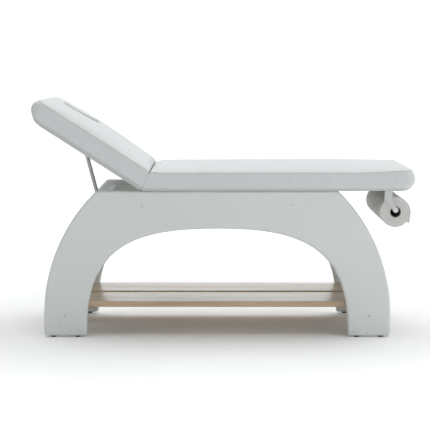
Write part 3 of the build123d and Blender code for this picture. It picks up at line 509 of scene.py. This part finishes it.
def rim_order(columns, rows):
    """The grid's edge as flat numbers, counter-clockwise from above, from the middle of the first end."""
    grid = np.arange(columns * rows).reshape(columns, rows)
    middle = rows // 2
    sides = (grid[0, middle:0:-1], grid[:-1, 0], grid[-1, :-1], grid[:0:-1, -1], grid[0, :middle:-1])
    return np.concatenate(sides)


def pad_ends(size, height):
    """Where a pad starts and ends along its board at a height: its leaning meeting face, and its bulge."""
    share = (height - size["lift"]) / size["rise"]
    full = size["full"]
    low = size["tuck"] * np.clip((full - share) / full, 0, 1) ** 2
    high = size["draw"] * np.clip((share - full) / (1 - full), 0, 1) ** 2
    notch = notch_opening * np.clip((share - notch_start) / (1 - notch_start), 0, 1) ** 2
    return contact_gap + height * math.tan(size["lean"]) + notch, size["length"] - low - high


def pad_half(size, height):
    """A pad's half width at a height: fullest half-way up, drawn in at the board and at the seam."""
    share = (height - size["lift"]) / size["rise"]
    low = pad_low_draw * np.clip(1 - 2 * share, 0, 1) ** 2
    high = pad_high_draw * np.clip(2 * share - 1, 0, 1) ** 2
    return pad_half_width - low - high


def pad_ring(size, lines_x, lines_y, height, inset):
    """The pad's outline at a height, moved in by an inset, as full grids of x and y."""
    start, end = pad_ends(size, height)
    half = pad_half(size, height) - inset
    near_inset = inset * meeting_rim / rim_radius
    x, y = rounded_grid(
        lines_x * (end - start - inset - near_inset) / lines_x[-1],
        lines_y * 2 * half / lines_y[-1],
        max(near_corner - inset, pocket_step),
        far_corner - inset,
    )
    x = x + start + near_inset
    waist = 1 - (2 * x / size["length"] - 1) ** 2
    return x, y * (1 - pad_middle_draw * waist / half)


def board_ring(size, lines_x, lines_y, margin):
    """The outline of the board's pocket, grown by a margin, as full grids of x and y."""
    start, end = size["board"]
    half = pad_half_width - pad_low_draw - pad_middle_draw - board_margin + margin
    x, y = rounded_grid(
        lines_x * (end - start + 2 * margin) / lines_x[-1],
        lines_y * 2 * half / lines_y[-1],
        2 * pocket_step,
        board_corner + margin,
    )
    return x + start - margin, y


def end_lift(size, x):
    """How far the seam stands above its level towards the pad's two ends, where the foam is fullest."""
    start, end = pad_ends(size, size["lift"] + size["rise"])
    (far_lift, far_run), (near_lift, near_run) = size["lifts"]
    far_part = np.clip(1 - (end - x) / far_run, 0, 1) ** seam_lift_power
    near_part = np.clip(1 - (x - start) / near_run, 0, 1) ** seam_lift_power
    return far_lift * far_part + near_lift * near_part


def crown_rise(size, x):
    """The crown's height along a pad: a power curve from the near end to the peak, then a parabola down."""
    start, end = pad_ends(size, size["lift"] + size["rise"])
    near, middle, far = size["crowns"]
    peak = size["peak"] * size["length"]
    near_part = middle - (middle - near) * (np.maximum(peak - x, 0) / (peak - start)) ** size["bend"]
    far_part = middle - (middle - far) * ((x - peak) / (end - peak)) ** 2
    return np.where(x < peak, near_part, far_part)


def crown_height(size, x, y):
    """The cushion's top over its board: it springs up from the seam on every side and then rises slowly to
    the middle line. Corners follow a power of the two distances, so that no mitre shows."""
    seam = size["lift"] + size["rise"]
    start, end = pad_ends(size, seam)
    waist = 1 - (2 * x / size["length"] - 1) ** 2
    half = pad_half(size, seam) - pad_middle_draw * waist
    near_spring, side_spring, far_spring = size["springs"]
    from_near = np.clip((x - start) / near_spring, 0, 1)
    from_far = np.clip((end - x) / far_spring, 0, 1)
    from_side = np.clip((half - np.abs(y)) / side_spring, 0, 1)
    power = np.where(x < (start + end) / 2, *corner_powers)
    miss = ((1 - np.minimum(from_near, from_far)) ** power + (1 - from_side) ** power) ** (1 / power)
    spring = 1 - np.clip(miss, 0, 1) ** size["roundness"]
    middle = 1 - (y / half) ** 2
    swell = crown_rise(size, x) * spring * (size["edge_share"] + (1 - size["edge_share"]) * middle)
    return seam + swell + end_lift(size, x) * (1 - seam_lift_fade * spring)


def side_rows(size, lines_x, lines_y):
    """Rings from just under the seam down the side, round the lower rim and up into the board's pocket."""
    low = size["lift"] + 0.3 * pocket_step
    seam = size["lift"] + size["rise"]
    order = rim_order(len(lines_x), len(lines_y))
    rims = [(seam - share * (seam - low - rim_radius), 0.0) for share in drop_steps]
    for turn in np.radians((22, 45, 68, 90)):
        rims.append((low + rim_radius * (1 - math.sin(turn)), rim_radius * (1 - math.cos(turn))))
    roof = size["lift"] + board_thickness + 0.3 * pocket_step
    pocket = (
        (board_clearance + pocket_step, low),
        (board_clearance, low),
        (board_clearance, low + pocket_step),
        (board_clearance, roof - pocket_step),
        (board_clearance, roof),
        (board_clearance - pocket_step, roof),
    )
    rows = [(*pad_ring(size, lines_x, lines_y, height, inset), height) for height, inset in rims]
    rows += [(*board_ring(size, lines_x, lines_y, margin), height) for margin, height in pocket]
    rings = []
    for x, y, height in rows:
        share = max(height - low - rim_radius, 0) / (seam - low - rim_radius)
        lifted = height + share * end_lift(size, x.ravel()[order])
        rings.append(np.stack([x.ravel()[order], y.ravel()[order], lifted], axis=-1))
    return rings


def strip_quads(upper, lower):
    """Faces between two closed rings of vertex numbers, the outer side out where the first is above."""
    return np.stack([lower, np.roll(lower, -1), np.roll(upper, -1), upper], axis=-1)


def grid_quads(grid):
    """Faces of a grid of vertex numbers, with their outer side up where x and y grow along it."""
    corners = [grid[:-1, :-1], grid[1:, :-1], grid[1:, 1:], grid[:-1, 1:]]
    return np.stack(corners, axis=-1).reshape(-1, 4)


def ring_walk(ring):
    """Distance along a closed ring of points, with one value more than it has points."""
    legs = np.linalg.norm(np.roll(ring, -1, axis=0) - ring, axis=1)
    return np.concatenate([[0.0], np.cumsum(legs)])


def row_walk(rows):
    """Mean distance of each row from the seam, counted down the side."""
    gaps = [np.linalg.norm(b - a, axis=1).mean() for a, b in zip(rows[:-1], rows[1:])]
    return np.concatenate([[0.0], np.cumsum(gaps)])


def mesh_piece(name, points, quads, places, material):
    """A smooth shaded mesh from points and four-sided faces, with one place per face corner."""
    mesh = bpy.data.meshes.new(name)
    mesh.vertices.add(len(points))
    mesh.vertices.foreach_set("co", np.ascontiguousarray(points, dtype=np.float32).ravel())
    mesh.loops.add(quads.size)
    mesh.loops.foreach_set("vertex_index", quads.astype(np.int32).ravel())
    mesh.polygons.add(len(quads))
    mesh.polygons.foreach_set("loop_start", np.arange(0, quads.size, 4, dtype=np.int32))
    mesh.update(calc_edges=True)
    mesh.polygons.foreach_set("use_smooth", np.ones(len(quads), dtype=bool))
    mesh.uv_layers.new(name="cloth_place")
    mesh.uv_layers["cloth_place"].data.foreach_set("uv", places.astype(np.float32).ravel())
    mesh.materials.append(material)
    mesh.validate()
    piece = bpy.data.objects.new(name, mesh)
    bpy.context.collection.objects.link(piece)
    return piece


def pad_lines(size):
    """A pad's seam height, its grid lines along and across at the seam, and the order of their rim."""
    seam = size["lift"] + size["rise"]
    start, end = pad_ends(size, seam)
    lines_x = line_places(end - start, pad_grid)
    lines_y = line_places(2 * pad_half(size, seam), pad_grid)
    return seam, lines_x, lines_y, rim_order(len(lines_x), len(lines_y))


def seat_surface(size):
    """The seat pad as one closed surface: a crowned grid on top, rings down its side and into the pocket
    under it, and a grid for the pocket's roof. Gives points, faces, places and the hold on each point."""
    seam, lines_x, lines_y, order = pad_lines(size)
    columns, rows = len(lines_x), len(lines_y)
    x, y = pad_ring(size, lines_x, lines_y, seam, 0.0)
    height = crown_height(size, x, y)
    height.ravel()[order] = seam + end_lift(size, x.ravel()[order])
    top = np.stack([x.ravel(), y.ravel(), height.ravel()], axis=-1)
    rings = side_rows(size, lines_x, lines_y)
    roof_x, roof_y = board_ring(size, lines_x, lines_y, board_clearance - pocket_step)
    inside = np.ones(columns * rows, dtype=bool)
    inside[order] = False
    roof = np.stack([roof_x.ravel(), roof_y.ravel(), np.full(columns * rows, rings[-1][0, 2])], axis=-1)

    first_ring = columns * rows
    roof_start = first_ring + len(rings) * len(order)
    ring_numbers = [order, *np.arange(first_ring, roof_start).reshape(len(rings), len(order))]
    roof_numbers = np.zeros(columns * rows, dtype=int)
    roof_numbers[order] = ring_numbers[-1]
    roof_numbers[inside] = roof_start + np.arange(inside.sum())
    points = np.concatenate([top, np.concatenate(rings), roof[inside]])

    top_quads = grid_quads(np.arange(columns * rows).reshape(columns, rows))
    roof_quads = grid_quads(roof_numbers.reshape(columns, rows))[:, [0, 3, 2, 1]]
    strips = [strip_quads(a, b) for a, b in zip(ring_numbers[:-1], ring_numbers[1:])]

    walk = ring_walk(top[order])
    drop = row_walk([top[order]] + rings)
    on_rim = np.zeros(columns * rows)
    on_rim[order] = walk[:-1]
    on_rim = on_rim.reshape(columns, rows)
    from_end = np.minimum(lines_x, lines_x[-1] - lines_x)[:, None]
    from_side = np.minimum(lines_y, lines_y[-1] - lines_y)[None, :]
    end_walk = np.where((lines_x < lines_x[-1] / 2)[:, None], on_rim[:1, :], on_rim[-1:, :])
    side_walk = np.where((lines_y < lines_y[-1] / 2)[None, :], on_rim[:, :1], on_rim[:, -1:])
    top_walk = np.where(from_end > from_side, side_walk, end_walk).ravel()
    top_depth = -np.minimum(from_end, from_side).ravel()
    top_places = np.stack([top_walk, top_depth], axis=-1)[top_quads]
    roof_places = np.stack([points[:, 0], points[:, 1] + 2], axis=-1)[roof_quads]
    places = [top_places] + strip_places(walk, drop) + [roof_places]
    quads = np.concatenate([top_quads] + strips + [roof_quads])
    places = np.concatenate([part.reshape(-1, 4, 2) for part in places])

    hold = np.ones(len(points))
    hold[: columns * rows] = foam_hold(-top_depth)
    hold[order] = 1.0
    hold[first_ring + np.arange(len(drop_steps) * len(order))] = np.repeat(side_hold(), len(order))
    return points, quads, places, held_at_hinge(size, points, hold)


def held_at_hinge(size, points, hold):
    """Full hold where one pad presses on the other, fading out a few centimetres away."""
    from_face = points[:, 0] - contact_gap - points[:, 2] * math.tan(size["lean"])
    return np.maximum(hold, np.clip((hinge_hold_end - from_face) / hinge_hold_run, 0, 1))


def strip_places(walk, drop):
    """Places for rings: along the seam, and down from it, with the last face of each ring closed."""
    left, right = walk[:-1], walk[1:]
    parts = []
    for above, below in zip(drop[:-1], drop[1:]):
        corners = [(left, below), (right, below), (right, above), (left, above)]
        parts.append(np.stack([np.stack([u, np.full(len(left), v)], axis=-1) for u, v in corners], axis=1))
    return parts


def foam_hold(depth):
    """How firmly the foam holds the cover, by distance from the seam: firm in the middle, free near it."""
    return firm_hold - free_hold * np.exp(-((np.asarray(depth) - free_depth) / free_depth) ** 2)


def side_hold():
    """The hold on each ring of the side: free between seam and lower rim."""
    return free_hold + 0.3 * (2 * drop_steps - 1) ** 2


def level_ring(flat, height):
    """A flat ring of points set at a height."""
    return np.column_stack([flat, np.broadcast_to(height, len(flat))])


def backrest_surface(size):
    """The backrest pad as one closed ring surface: down the side, under the rim, round the board's pocket,
    in to the face hole, up its wall, over its round edge and back across the crowned top to the seam."""
    seam, lines_x, lines_y, order = pad_lines(size)

    def flat_ring(height, inset):
        x, y = pad_ring(size, lines_x, lines_y, height, inset)
        return np.stack([x.ravel()[order], y.ravel()[order]], axis=-1)

    def oval(offset):
        return centre + spokes * (np.array(face_hole_half) + offset)

    centre = np.array((face_hole_x, 0.0))
    outer = flat_ring(seam, 0.0)
    away = (outer - centre) / np.array(face_hole_half)
    spokes = away / np.linalg.norm(away, axis=1, keepdims=True)
    edge = [flat_ring(seam, inset) for inset in edge_steps[1:6]]
    near_hole = [oval(offset) for offset in face_rim_insets]
    shares = np.linspace(0, 1, 22)[1:-1]
    between = [edge[-1] * (1 - share) + near_hole[0] * share for share in shares]
    top_flat = [outer] + edge + between + near_hole
    top = []
    for index, flat in enumerate(top_flat):
        height = crown_height(size, flat[:, 0], flat[:, 1]) if index else seam + end_lift(size, flat[:, 0])
        away = np.linalg.norm((flat - centre) / np.array(face_hole_half), axis=1) - 1
        gap = np.clip(away * min(face_hole_half), 0, face_rim_radius)
        height = height - face_rim_radius + np.sqrt(face_rim_radius**2 - (face_rim_radius - gap) ** 2)
        top.append(level_ring(flat, height))
    rows = side_rows(size, lines_x, lines_y)
    roof = rows[-1][0, 2]
    pocket_edge = rows[-1][:, :2]
    hole_foot = oval(0.0)
    inward = [pocket_edge * (1 - share) + hole_foot * share for share in (0.33, 0.66, 0.99)]
    inward = [level_ring(flat, roof) for flat in inward + [hole_foot]]
    lip = top[-1][:, 2].min() - face_rim_radius / 3
    wall = [level_ring(hole_foot, height) for height in np.linspace(roof + pocket_step, lip, 7)]
    hole_edge = level_ring(hole_foot, top[-1][:, 2] - face_rim_drop)
    rings = [top[0]] + rows + inward + wall + [hole_edge] + top[:0:-1]
    numbers = np.arange(len(rings) * len(order)).reshape(len(rings), len(order))
    strips = [strip_quads(numbers[index], numbers[(index + 1) % len(rings)]) for index in range(len(rings))]
    walk = ring_walk(top[0])
    drop = row_walk(rings)
    back = row_walk(top)[::-1]
    drop[-len(back) + 1 :] = -back[:-1]
    closing = np.append(drop, 0.0)
    places = strip_places(walk, closing)
    hold = np.ones((len(rings), len(order)))
    hold[1 : 1 + len(drop_steps)] = side_hold()[:, None]
    depth = back[:-1]
    hold[-len(depth) :] = foam_hold(depth)[:, None]
    hold[-len(depth) : -len(depth) + 4] = 1.0
    points = np.concatenate(rings)
    hold = held_at_hinge(size, points, hold.ravel())
    return points, np.concatenate(strips), np.concatenate(places).reshape(-1, 4, 2), hold


coated_cloth = {
    "quality": 5,
    "mass": 0.25,
    "tension_stiffness": 25,
    "compression_stiffness": 25,
    "shear_stiffness": 12,
    "bending_stiffness": 0.6,
    "tension_damping": 25,
    "compression_damping": 25,
    "air_damping": 6,
    "shrink_min": -0.012,
    "pin_stiffness": 0.6,
}


def settled(pad, hold, pressure, frames, most):
    """Lets a pad's cover settle as cloth under light inner pressure, held by the foam's firmness, and keeps
    each point within a small distance of where it was laid out."""
    laid = np.array([vertex.co for vertex in pad.data.vertices])
    group = pad.vertex_groups.new(name="foam_hold")
    for level in np.unique(np.round(hold, 2)):
        members = np.nonzero(np.round(hold, 2) == level)[0]
        group.add(members.tolist(), float(level), "REPLACE")
    cover = pad.modifiers.new("cover", "CLOTH")
    for setting, value in coated_cloth.items():
        setattr(cover.settings, setting, value)
    cover.settings.vertex_group_mass = "foam_hold"
    cover.settings.use_pressure = True
    cover.settings.uniform_pressure_force = pressure
    cover.settings.effector_weights.gravity = 0.0
    cover.point_cache.frame_start = 1
    cover.point_cache.frame_end = frames
    scene = bpy.context.scene
    for frame_number in range(1, frames + 1):
        scene.frame_set(frame_number)
    puffed = pad.evaluated_get(bpy.context.evaluated_depsgraph_get()).data
    moved = np.array([vertex.co for vertex in puffed.vertices]) - laid
    pad.modifiers.remove(cover)
    pad.vertex_groups.remove(group)
    scene.frame_set(1)
    length = np.maximum(np.linalg.norm(moved, axis=1, keepdims=True), 1e-9)
    moved *= most * np.tanh(length / most) / length
    moved[hold >= 1.0] = 0.0
    return laid + moved


def finish_pad(pad, points):
    pad.data.vertices.foreach_set("co", points.astype(np.float32).ravel())
    pad.data.update()
    rounding = pad.modifiers.new("rounding", "SUBSURF")
    rounding.levels = 1
    rounding.render_levels = 1

cover_colour = (0.70, 0.717, 0.721, 1)
cover_roughness = 0.50
seam_line_and_shade_grey = (0.42, 0.43, 0.43, 1)
thread_colour = (0.70, 0.71, 0.70, 1)
stitch_pitch = 0.0062
stitch_line = 0.0045
cover_cells = 900.0

# Sewn edge: from places along and across the seam, the dark seam line, partly the joint itself and partly
# painted shade in its crease, a painted shade on the side just under it, the stitches, the gathers, and a
# painted shade over the lower rim where the cover turns under the board
sewn, way_in, way_out = group_of(
    "sewn_edge",
    {"Place": "Vector", "Pitch": "Float", "Line": "Float"},
    {"Seam": "Float", "Stitch": "Float", "Gather": "Float", "Hem": "Float"},
)
apart = placed(sewn, "SeparateXYZ", {0: way_in["Place"]})
along, across = apart.outputs["X"], apart.outputs["Y"]
from_seam = sum_of(sewn, "ABSOLUTE", across)
on_seam = ramped(sewn, from_seam, 0.0004, 0.0016, 1.0, 0.0)
# Painted shade: a darker band on the side just under the seam
seam_shade = ramped(sewn, across, 0.0, 0.0015, 0.0, 0.35)
under_seam = sum_of(sewn, "MULTIPLY", seam_shade, ramped(sewn, across, 0.003, 0.008, 1.0, 0.0))
off_line = sum_of(sewn, "ABSOLUTE", sum_of(sewn, "SUBTRACT", from_seam, way_in["Line"]))
on_line = ramped(sewn, off_line, 0.00025, 0.0006, 1.0, 0.0)
phase = sum_of(sewn, "FRACT", sum_of(sewn, "DIVIDE", along, way_in["Pitch"]))
off_middle = sum_of(sewn, "ABSOLUTE", sum_of(sewn, "SUBTRACT", phase, 0.5))
on_thread = ramped(sewn, off_middle, 0.30, 0.38, 1.0, 0.0)
fold_place = placed(sewn, "VectorMath", {0: way_in["Place"], 1: (75.0, 14.0, 0.0)}, operation="MULTIPLY")
fold_sockets = {"Vector": fold_place.outputs[0], "Scale": 1.0, "Detail": 2.0}
folds = placed(sewn, "TexNoise", fold_sockets, noise_dimensions="2D").outputs["Fac"]
near_seam = ramped(sewn, from_seam, 0.002, 0.045, 1.0, 0.0)
# The rim output is painted shade: the cover is drawn darker over its lower rim, where it turns under the
# board
put_out(
    sewn,
    way_out,
    Seam=sum_of(sewn, "MAXIMUM", on_seam, under_seam),
    Stitch=sum_of(sewn, "MULTIPLY", on_line, on_thread),
    Gather=sum_of(sewn, "MULTIPLY", folds, near_seam),
    Hem=ramped(sewn, across, 0.077, 0.092, 1.0, 0.78),
)

# Cover grain: the fine leather-like cells pressed into a coated cloth, and its slight unevenness in tone
cover_grain, way_in, way_out = group_of(
    "cover_grain", {"Vector": "Vector", "Cells": "Float"}, {"Height": "Float", "Tone": "Float"}
)
cell_sockets = {"Vector": way_in["Vector"], "Scale": way_in["Cells"]}
cells = placed(cover_grain, "TexVoronoi", cell_sockets, feature="DISTANCE_TO_EDGE").outputs["Distance"]
rumple = sum_of(cover_grain, "MULTIPLY", noise_of(cover_grain, way_in["Vector"], 34.0, 4.0), 1.5)
patches = noise_of(cover_grain, way_in["Vector"], 3.5, 3.0)
put_out(
    cover_grain,
    way_out,
    Height=sum_of(cover_grain, "ADD", ramped(cover_grain, cells, 0.0, 0.16), rumple),
    Tone=ramped(cover_grain, patches, 0.3, 0.7, 0.975, 1.0),
)

pad_cover, tree = blank_material("white_coated_cover")
grain_sockets = {"Vector": drawn_place(tree), "Cells": cover_cells}
grain = placed(tree, "Group", grain_sockets, node_tree=cover_grain).outputs
sewn_place = placed(tree, "UVMap", {}, uv_map="cloth_place").outputs[0]
sewing_sockets = {"Place": sewn_place, "Pitch": stitch_pitch, "Line": stitch_line}
sewing = placed(tree, "Group", sewing_sockets, node_tree=sewn).outputs
shown = mixed(tree, 1.0, cover_colour, grain["Tone"], "MULTIPLY")
# The seam line and the painted shade under it, mixed towards grey
shown = mixed(tree, sum_of(tree, "MULTIPLY", sewing["Seam"], 0.8), shown, seam_line_and_shade_grey)
shown = mixed(tree, sewing["Stitch"], shown, thread_colour)
# Painted shade over the cover's lower rim
shown = mixed(tree, 1.0, shown, sewing["Hem"], "MULTIPLY")
threads = sum_of(tree, "MULTIPLY", sewing["Stitch"], 0.35)
puckers = sum_of(tree, "ADD", sewing["Gather"], threads)
fine = raised(tree, grain["Height"], 0.22, 0.0005)
coarse = raised(tree, puckers, 0.5, 0.0016, Normal=fine)
lit_surface(tree, shown, cover_roughness, coarse, Specular_IOR_Level=0.3)

points, quads, places, hold = seat_surface(seat_pad_size)
seat_cover = mesh_piece("seat_cushion", level_spot(*points.T), quads, places, pad_cover)
finish_pad(seat_cover, settled(seat_cover, hold, pressure=3.0, frames=20, most=0.004))
points, quads, places, hold = backrest_surface(backrest_pad_size)
backrest_cover = mesh_piece("backrest_cushion", tilted_spot(*points.T), quads, places, pad_cover)
finish_pad(backrest_cover, settled(backrest_cover, hold, pressure=3.0, frames=20, most=0.004))
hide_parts("seat_pad")
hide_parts("backrest_pad")
for cushion in (seat_cover, backrest_cover):
    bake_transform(cushion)

# Face plug: an oval foam pad in the same cover, on its own small board, that lifts out of the backrest.
# It fills the face hole with hardly any gap, and its edge is rounded over without a seam.
plug_columns = 144
plug_foot_gap = 0.0003
plug_rim = 0.010
plug_dome = 0.002
plug_stand = 0.005
pole_ring = 0.0015
plug_dome_rings = 12
plug_free_rings = 14
plain_cover_depth = 0.02
rim_insets = (0.007, 0.0045, 0.0025, 0.001, 0.0)
foot_rings = ((0.002, 0.0), (0.0005, 0.0006), (0, 0.0025), (0, 0.03), (0, 0.0785))


def plug_surface():
    """The plug as one closed surface: an oval dome from its pole to a round rim, then a straight wall and a
    flat foot that closes at a second pole. Points run round each oval ring."""
    seam = backrest_pad_size["lift"] + backrest_pad_size["rise"]
    foot = backrest_pad_size["lift"] + board_thickness + plug_foot_gap
    half = np.array(face_hole_half) - plug_gap
    turn = np.linspace(0, 2 * math.pi, plug_columns, endpoint=False)
    oval = np.stack([np.cos(turn), np.sin(turn)], axis=-1)
    edge_x = np.array([face_hole_x + half[0]])
    edge_height = float(crown_height(backrest_pad_size, edge_x, np.array([0.0]))[0])
    rings = []
    for inset in (*np.linspace(half[1] - pole_ring, plug_rim, plug_dome_rings), *rim_insets):
        flat = oval * (half - inset) if inset < plug_rim else oval * half * (1 - inset / half[1])
        x, y = face_hole_x + flat[:, 0], flat[:, 1]
        rise = np.sqrt(max(plug_rim**2 - max(plug_rim - inset, 0) ** 2, 0)) - plug_rim
        swell = plug_dome * (1 - ((flat / half) ** 2).sum(axis=1))
        height = crown_height(backrest_pad_size, x, y) + rise + swell + plug_stand
        rings.append(np.stack([x, y, height], axis=-1))
    low = edge_height - plug_rim + plug_stand
    wall = [(low, 0), (0.6 * low + 0.4 * foot, 0), (0.2 * low + 0.8 * foot, 0)]
    for height, inset in wall + [(foot + above, inset) for above, inset in foot_rings]:
        flat = oval * (half - inset) if inset < plug_rim else oval * half * (1 - inset / half[1])
        rings.append(level_ring(flat + (face_hole_x, 0), height))
    numbers = np.arange(len(rings) * plug_columns).reshape(len(rings), plug_columns)
    strips = [strip_quads(a, b) for a, b in zip(numbers[:-1], numbers[1:])]
    return rings, np.concatenate(strips)


def capped(rings, quads, walk, drop):
    """Closes the first and last ring of a stack with caps of quads across the opening."""
    count = len(rings[0])
    half = count // 2
    step = np.arange(half - 1)
    first = np.stack([step, step + 1, count - 2 - step, count - 1 - step], axis=-1)
    base = (len(rings) - 1) * count
    last = base + first[:, ::-1]
    places = np.concatenate(strip_places(walk, drop)).reshape(-1, 4, 2)
    flat = np.full((2 * len(first), 4, 2), 1.0)
    return np.concatenate([quads, first, last]), np.concatenate([places, flat])


rings, strips = plug_surface()
drop = row_walk(rings) + plain_cover_depth
quads, places = capped(rings, strips, ring_walk(rings[plug_dome_rings]), drop)
points = np.concatenate(rings)
hold = np.ones(len(points))
hold[: plug_free_rings * plug_columns] = 0.5
plug_cover = mesh_piece("face_plug_cushion", tilted_spot(*points.T), quads, places, pad_cover)
finish_pad(plug_cover, settled(plug_cover, hold, pressure=2.0, frames=12, most=0.0015))
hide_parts("face_plug")
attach(plug_cover, "face_plug")

# Brackets: bent steel angles that fix the seat board to the panels, and the strut's two forked brackets.
# They are zinc plated like the screws, brushed flat before plating, with a little dirt in the bends.
brushed_zinc = mottled_finish(
    "brushed_zinc",
    (0.58, 0.60, 0.60, 1),
    mottle=(0.25, 90.0, 900.0),
    rough=(0.34, 0.55),
    relief=(0.15, 0.0002),
    stretch=(1.0, 0.04, 1.0),
    metallic=1.0,
)
dress(brushed_zinc, "seat_brackets", "hinge_fixed_leaves", "hinge_moving_leaves")
dress(brushed_zinc, "strut_head_bracket", "strut_foot_bracket", "strut_rod_lug")

# Backrest strut: a satin-plated tube over a satin-plated rod, with a black moulded eye at the top and a black
# guide bush in the tube's mouth. Fine hairlines run along both from years of sliding.
strut_lean = math.radians(14.0)
chrome = mottled_finish(
    "drawn_chrome",
    (0.44, 0.45, 0.455, 1),
    mottle=(0.12, 220.0, 2600.0),
    rough=(0.40, 0.55),
    relief=(0.08, 0.0001),
    stretch=(1.0, 1.0, 0.015),
    lean=strut_lean,
    rough_by="Peel",
    metallic=0.5,
)
dress(chrome, "strut_tube", "strut_rod", "strut_rod_head")
moulding_black = (0.022, 0.022, 0.024, 1)
black_plastic = mottled_finish(
    "black_moulding", moulding_black, (0.2, 60.0, 1400.0), rough=(0.42, 0.6), relief=(0.3, 0.0002)
)
dress(black_plastic, "strut_tube_eye", "strut_guide_bush")

# Foot glides: dark nylon studs pressed into the feet, rubbed grey where they meet the floor.
glide_grey = (0.045, 0.044, 0.042, 1)
glide_plastic = mottled_finish(
    "glide_nylon", glide_grey, (0.3, 80.0, 1100.0), rough=0.55, relief=(0.3, 0.0002), scuffs=0.004
)
dress(glide_plastic, "foot_glides")

# Paper roll holder: two bent steel brackets under the foot end and a rod between them, powder coated white.
powder_colour = (0.62, 0.635, 0.625, 1)
white_steel = mottled_finish(
    "white_powder_coat", powder_colour, (0.05, 20.0, 700.0), rough=(0.38, 0.52), relief=(0.35, 0.0004)
)
dress(white_steel, "roll_bracket_front", "roll_bracket_back", "roll_rod")

# Paper roll: a wide roll of embossed couch paper on a grey card core, wound tight, with its loose end
# hanging on the outer side. It turns with its core on the rod.
roll_spot = np.array((0.788630, 0.0, 0.5796))
roll_half = 0.295
roll_radius = 0.070
roll_step = 0.0006
core_radius = 0.0251
roll_wander = 0.0005
roll_columns = 192
roll_layers = 30
tail_top = 0.004
tail_drop = 0.057
tail_short = 0.0026
tail_lean = 0.006
tail_thickness = 0.0004
paper_white = (0.90, 0.90, 0.875, 1)
end_painted_shade = 0.84
card_colour = (0.30, 0.26, 0.21, 1)
card = mottled_finish("grey_card", card_colour, (0.5, 240.0, 1300.0), rough=0.85, relief=(0.4, 0.0003))
dress(card, "roll_core")


def roll_surface():
    """The wound paper as one closed ring surface. Its outer radius falls by one step over a turn, as a
    spiral does, and the wound ends stand a little in and out from layer to layer."""
    turn = np.linspace(0, 2 * math.pi, roll_columns + 1)[:-1]
    spiral = roll_radius - roll_step * turn / (2 * math.pi)
    shares = np.linspace(0, 1, roll_layers)
    rng = np.random.default_rng(7)
    wander = roll_wander * rng.random((2, roll_layers))

    def ring(radius, level):
        return np.stack([radius * np.cos(turn), np.full(len(turn), level), radius * np.sin(turn)], axis=-1)

    radii = [core_radius + share * (spiral - core_radius) for share in shares]
    rows = [ring(radius, wander[0][index] - roll_half) for index, radius in enumerate(radii)]
    rows += [ring(spiral, level) for level in np.linspace(-roll_half, roll_half, 13)[1:-1]]
    rows += [ring(radius, roll_half - wander[1][index]) for index, radius in enumerate(radii)][::-1]
    numbers = np.arange(len(rows) * len(turn)).reshape(len(rows), len(turn))
    strips = [strip_quads(a, b)[:, ::-1] for a, b in zip(numbers, np.roll(numbers, -1, axis=0))]
    walk = ring_walk(rows[roll_layers])
    down = row_walk(rows)
    places = strip_places(walk, np.append(down, down[-1] + 2 * roll_half))
    return np.concatenate(rows), np.concatenate(strips), np.concatenate(places).reshape(-1, 4, 2)


def tail_surface():
    """The loose end as a thin closed slab: it leaves the roll at its outer side, hangs straight and curls in
    at the torn lower edge, which wavers along the roll."""
    share, side = np.meshgrid(np.linspace(0, 1, 24), np.linspace(-1, 1, 60), indexing="ij")
    waver = 0.0016 * np.sin(9.0 * side + 1.0) + 0.0009 * np.sin(31.0 * side)
    curl = tail_lean * share**2.2 + 0.0006 * np.abs(np.sin(5.0 * side)) * share
    x = roll_radius - tail_thickness / 2 - curl
    z = tail_top - (tail_drop + tail_top - tail_short) * share - waver * share**4
    y = roll_half * side * (1 - 0.0015 * share)
    sheet = np.stack([x, y, z], axis=-1)
    out = np.array((tail_thickness / 2, 0, 0))
    front = grid_quads(np.arange(share.size).reshape(share.shape))
    edge = rim_order(*share.shape)
    rim = strip_quads(edge, edge + share.size)
    points = np.concatenate([(sheet + out).reshape(-1, 3), (sheet - out).reshape(-1, 3)])
    quads = np.concatenate([front, front[:, ::-1] + share.size, rim[:, [2, 3, 0, 1]]])
    return points, quads, points[:, 1:][quads]


couch_paper, tree = blank_material("couch_paper")
place = drawn_place(tree)
spun = placed(tree, "Mapping", {"Vector": place, "Location": tuple(-roll_spot)})
apart = placed(tree, "SeparateXYZ", {0: spun.outputs[0]}).outputs
squares = [sum_of(tree, "POWER", apart[axis], 2.0) for axis in "XZ"]
radius = sum_of(tree, "SQRT", sum_of(tree, "ADD", *squares))
layer_sockets = {"W": radius, "Scale": 260.0, "Detail": 6.0, "Roughness": 0.8}
layers = placed(tree, "TexNoise", layer_sockets, noise_dimensions="1D").outputs["Fac"]
shade = ramped(tree, layers, 0.34, 0.64, 0.74, 1.0)
along = sum_of(tree, "ABSOLUTE", apart["Y"])
# Painted shade: the flat ends of the roll are drawn darker than its side, though it is the same paper
end_shade = ramped(tree, along, roll_half - 0.0025, roll_half - 0.001, 1.0, end_painted_shade)
shown = mixed(tree, 1.0, paper_white, sum_of(tree, "MULTIPLY", shade, end_shade), "MULTIPLY")
emboss = placed(tree, "TexVoronoi", {"Vector": place, "Scale": 420.0}, feature="SMOOTH_F1")
crinkle = sum_of(tree, "MULTIPLY", noise_of(tree, place, 26.0, 5.0), 2.0)
crepe = sum_of(tree, "ADD", emboss.outputs["Distance"], crinkle)
relief = sum_of(tree, "ADD", crepe, sum_of(tree, "MULTIPLY", layers, 0.8))
glow_through = {"Subsurface_Weight": 0.35, "Subsurface_Scale": 0.02, "Subsurface_Radius": (1.0, 0.97, 0.94)}
lit_surface(tree, shown, 0.8, raised(tree, relief, 0.35, 0.0005), **glow_through)

roll_points, roll_quads, roll_places = roll_surface()
tail_points, tail_quads, tail_places = tail_surface()
roll_paper = mesh_piece(
    "couch_paper_roll",
    np.concatenate([roll_points, tail_points]) + roll_spot,
    np.concatenate([roll_quads, tail_quads + len(roll_points)]),
    np.concatenate([roll_places, tail_places]),
    couch_paper,
)
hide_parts("paper_roll")
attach(roll_paper, "paper_roll")
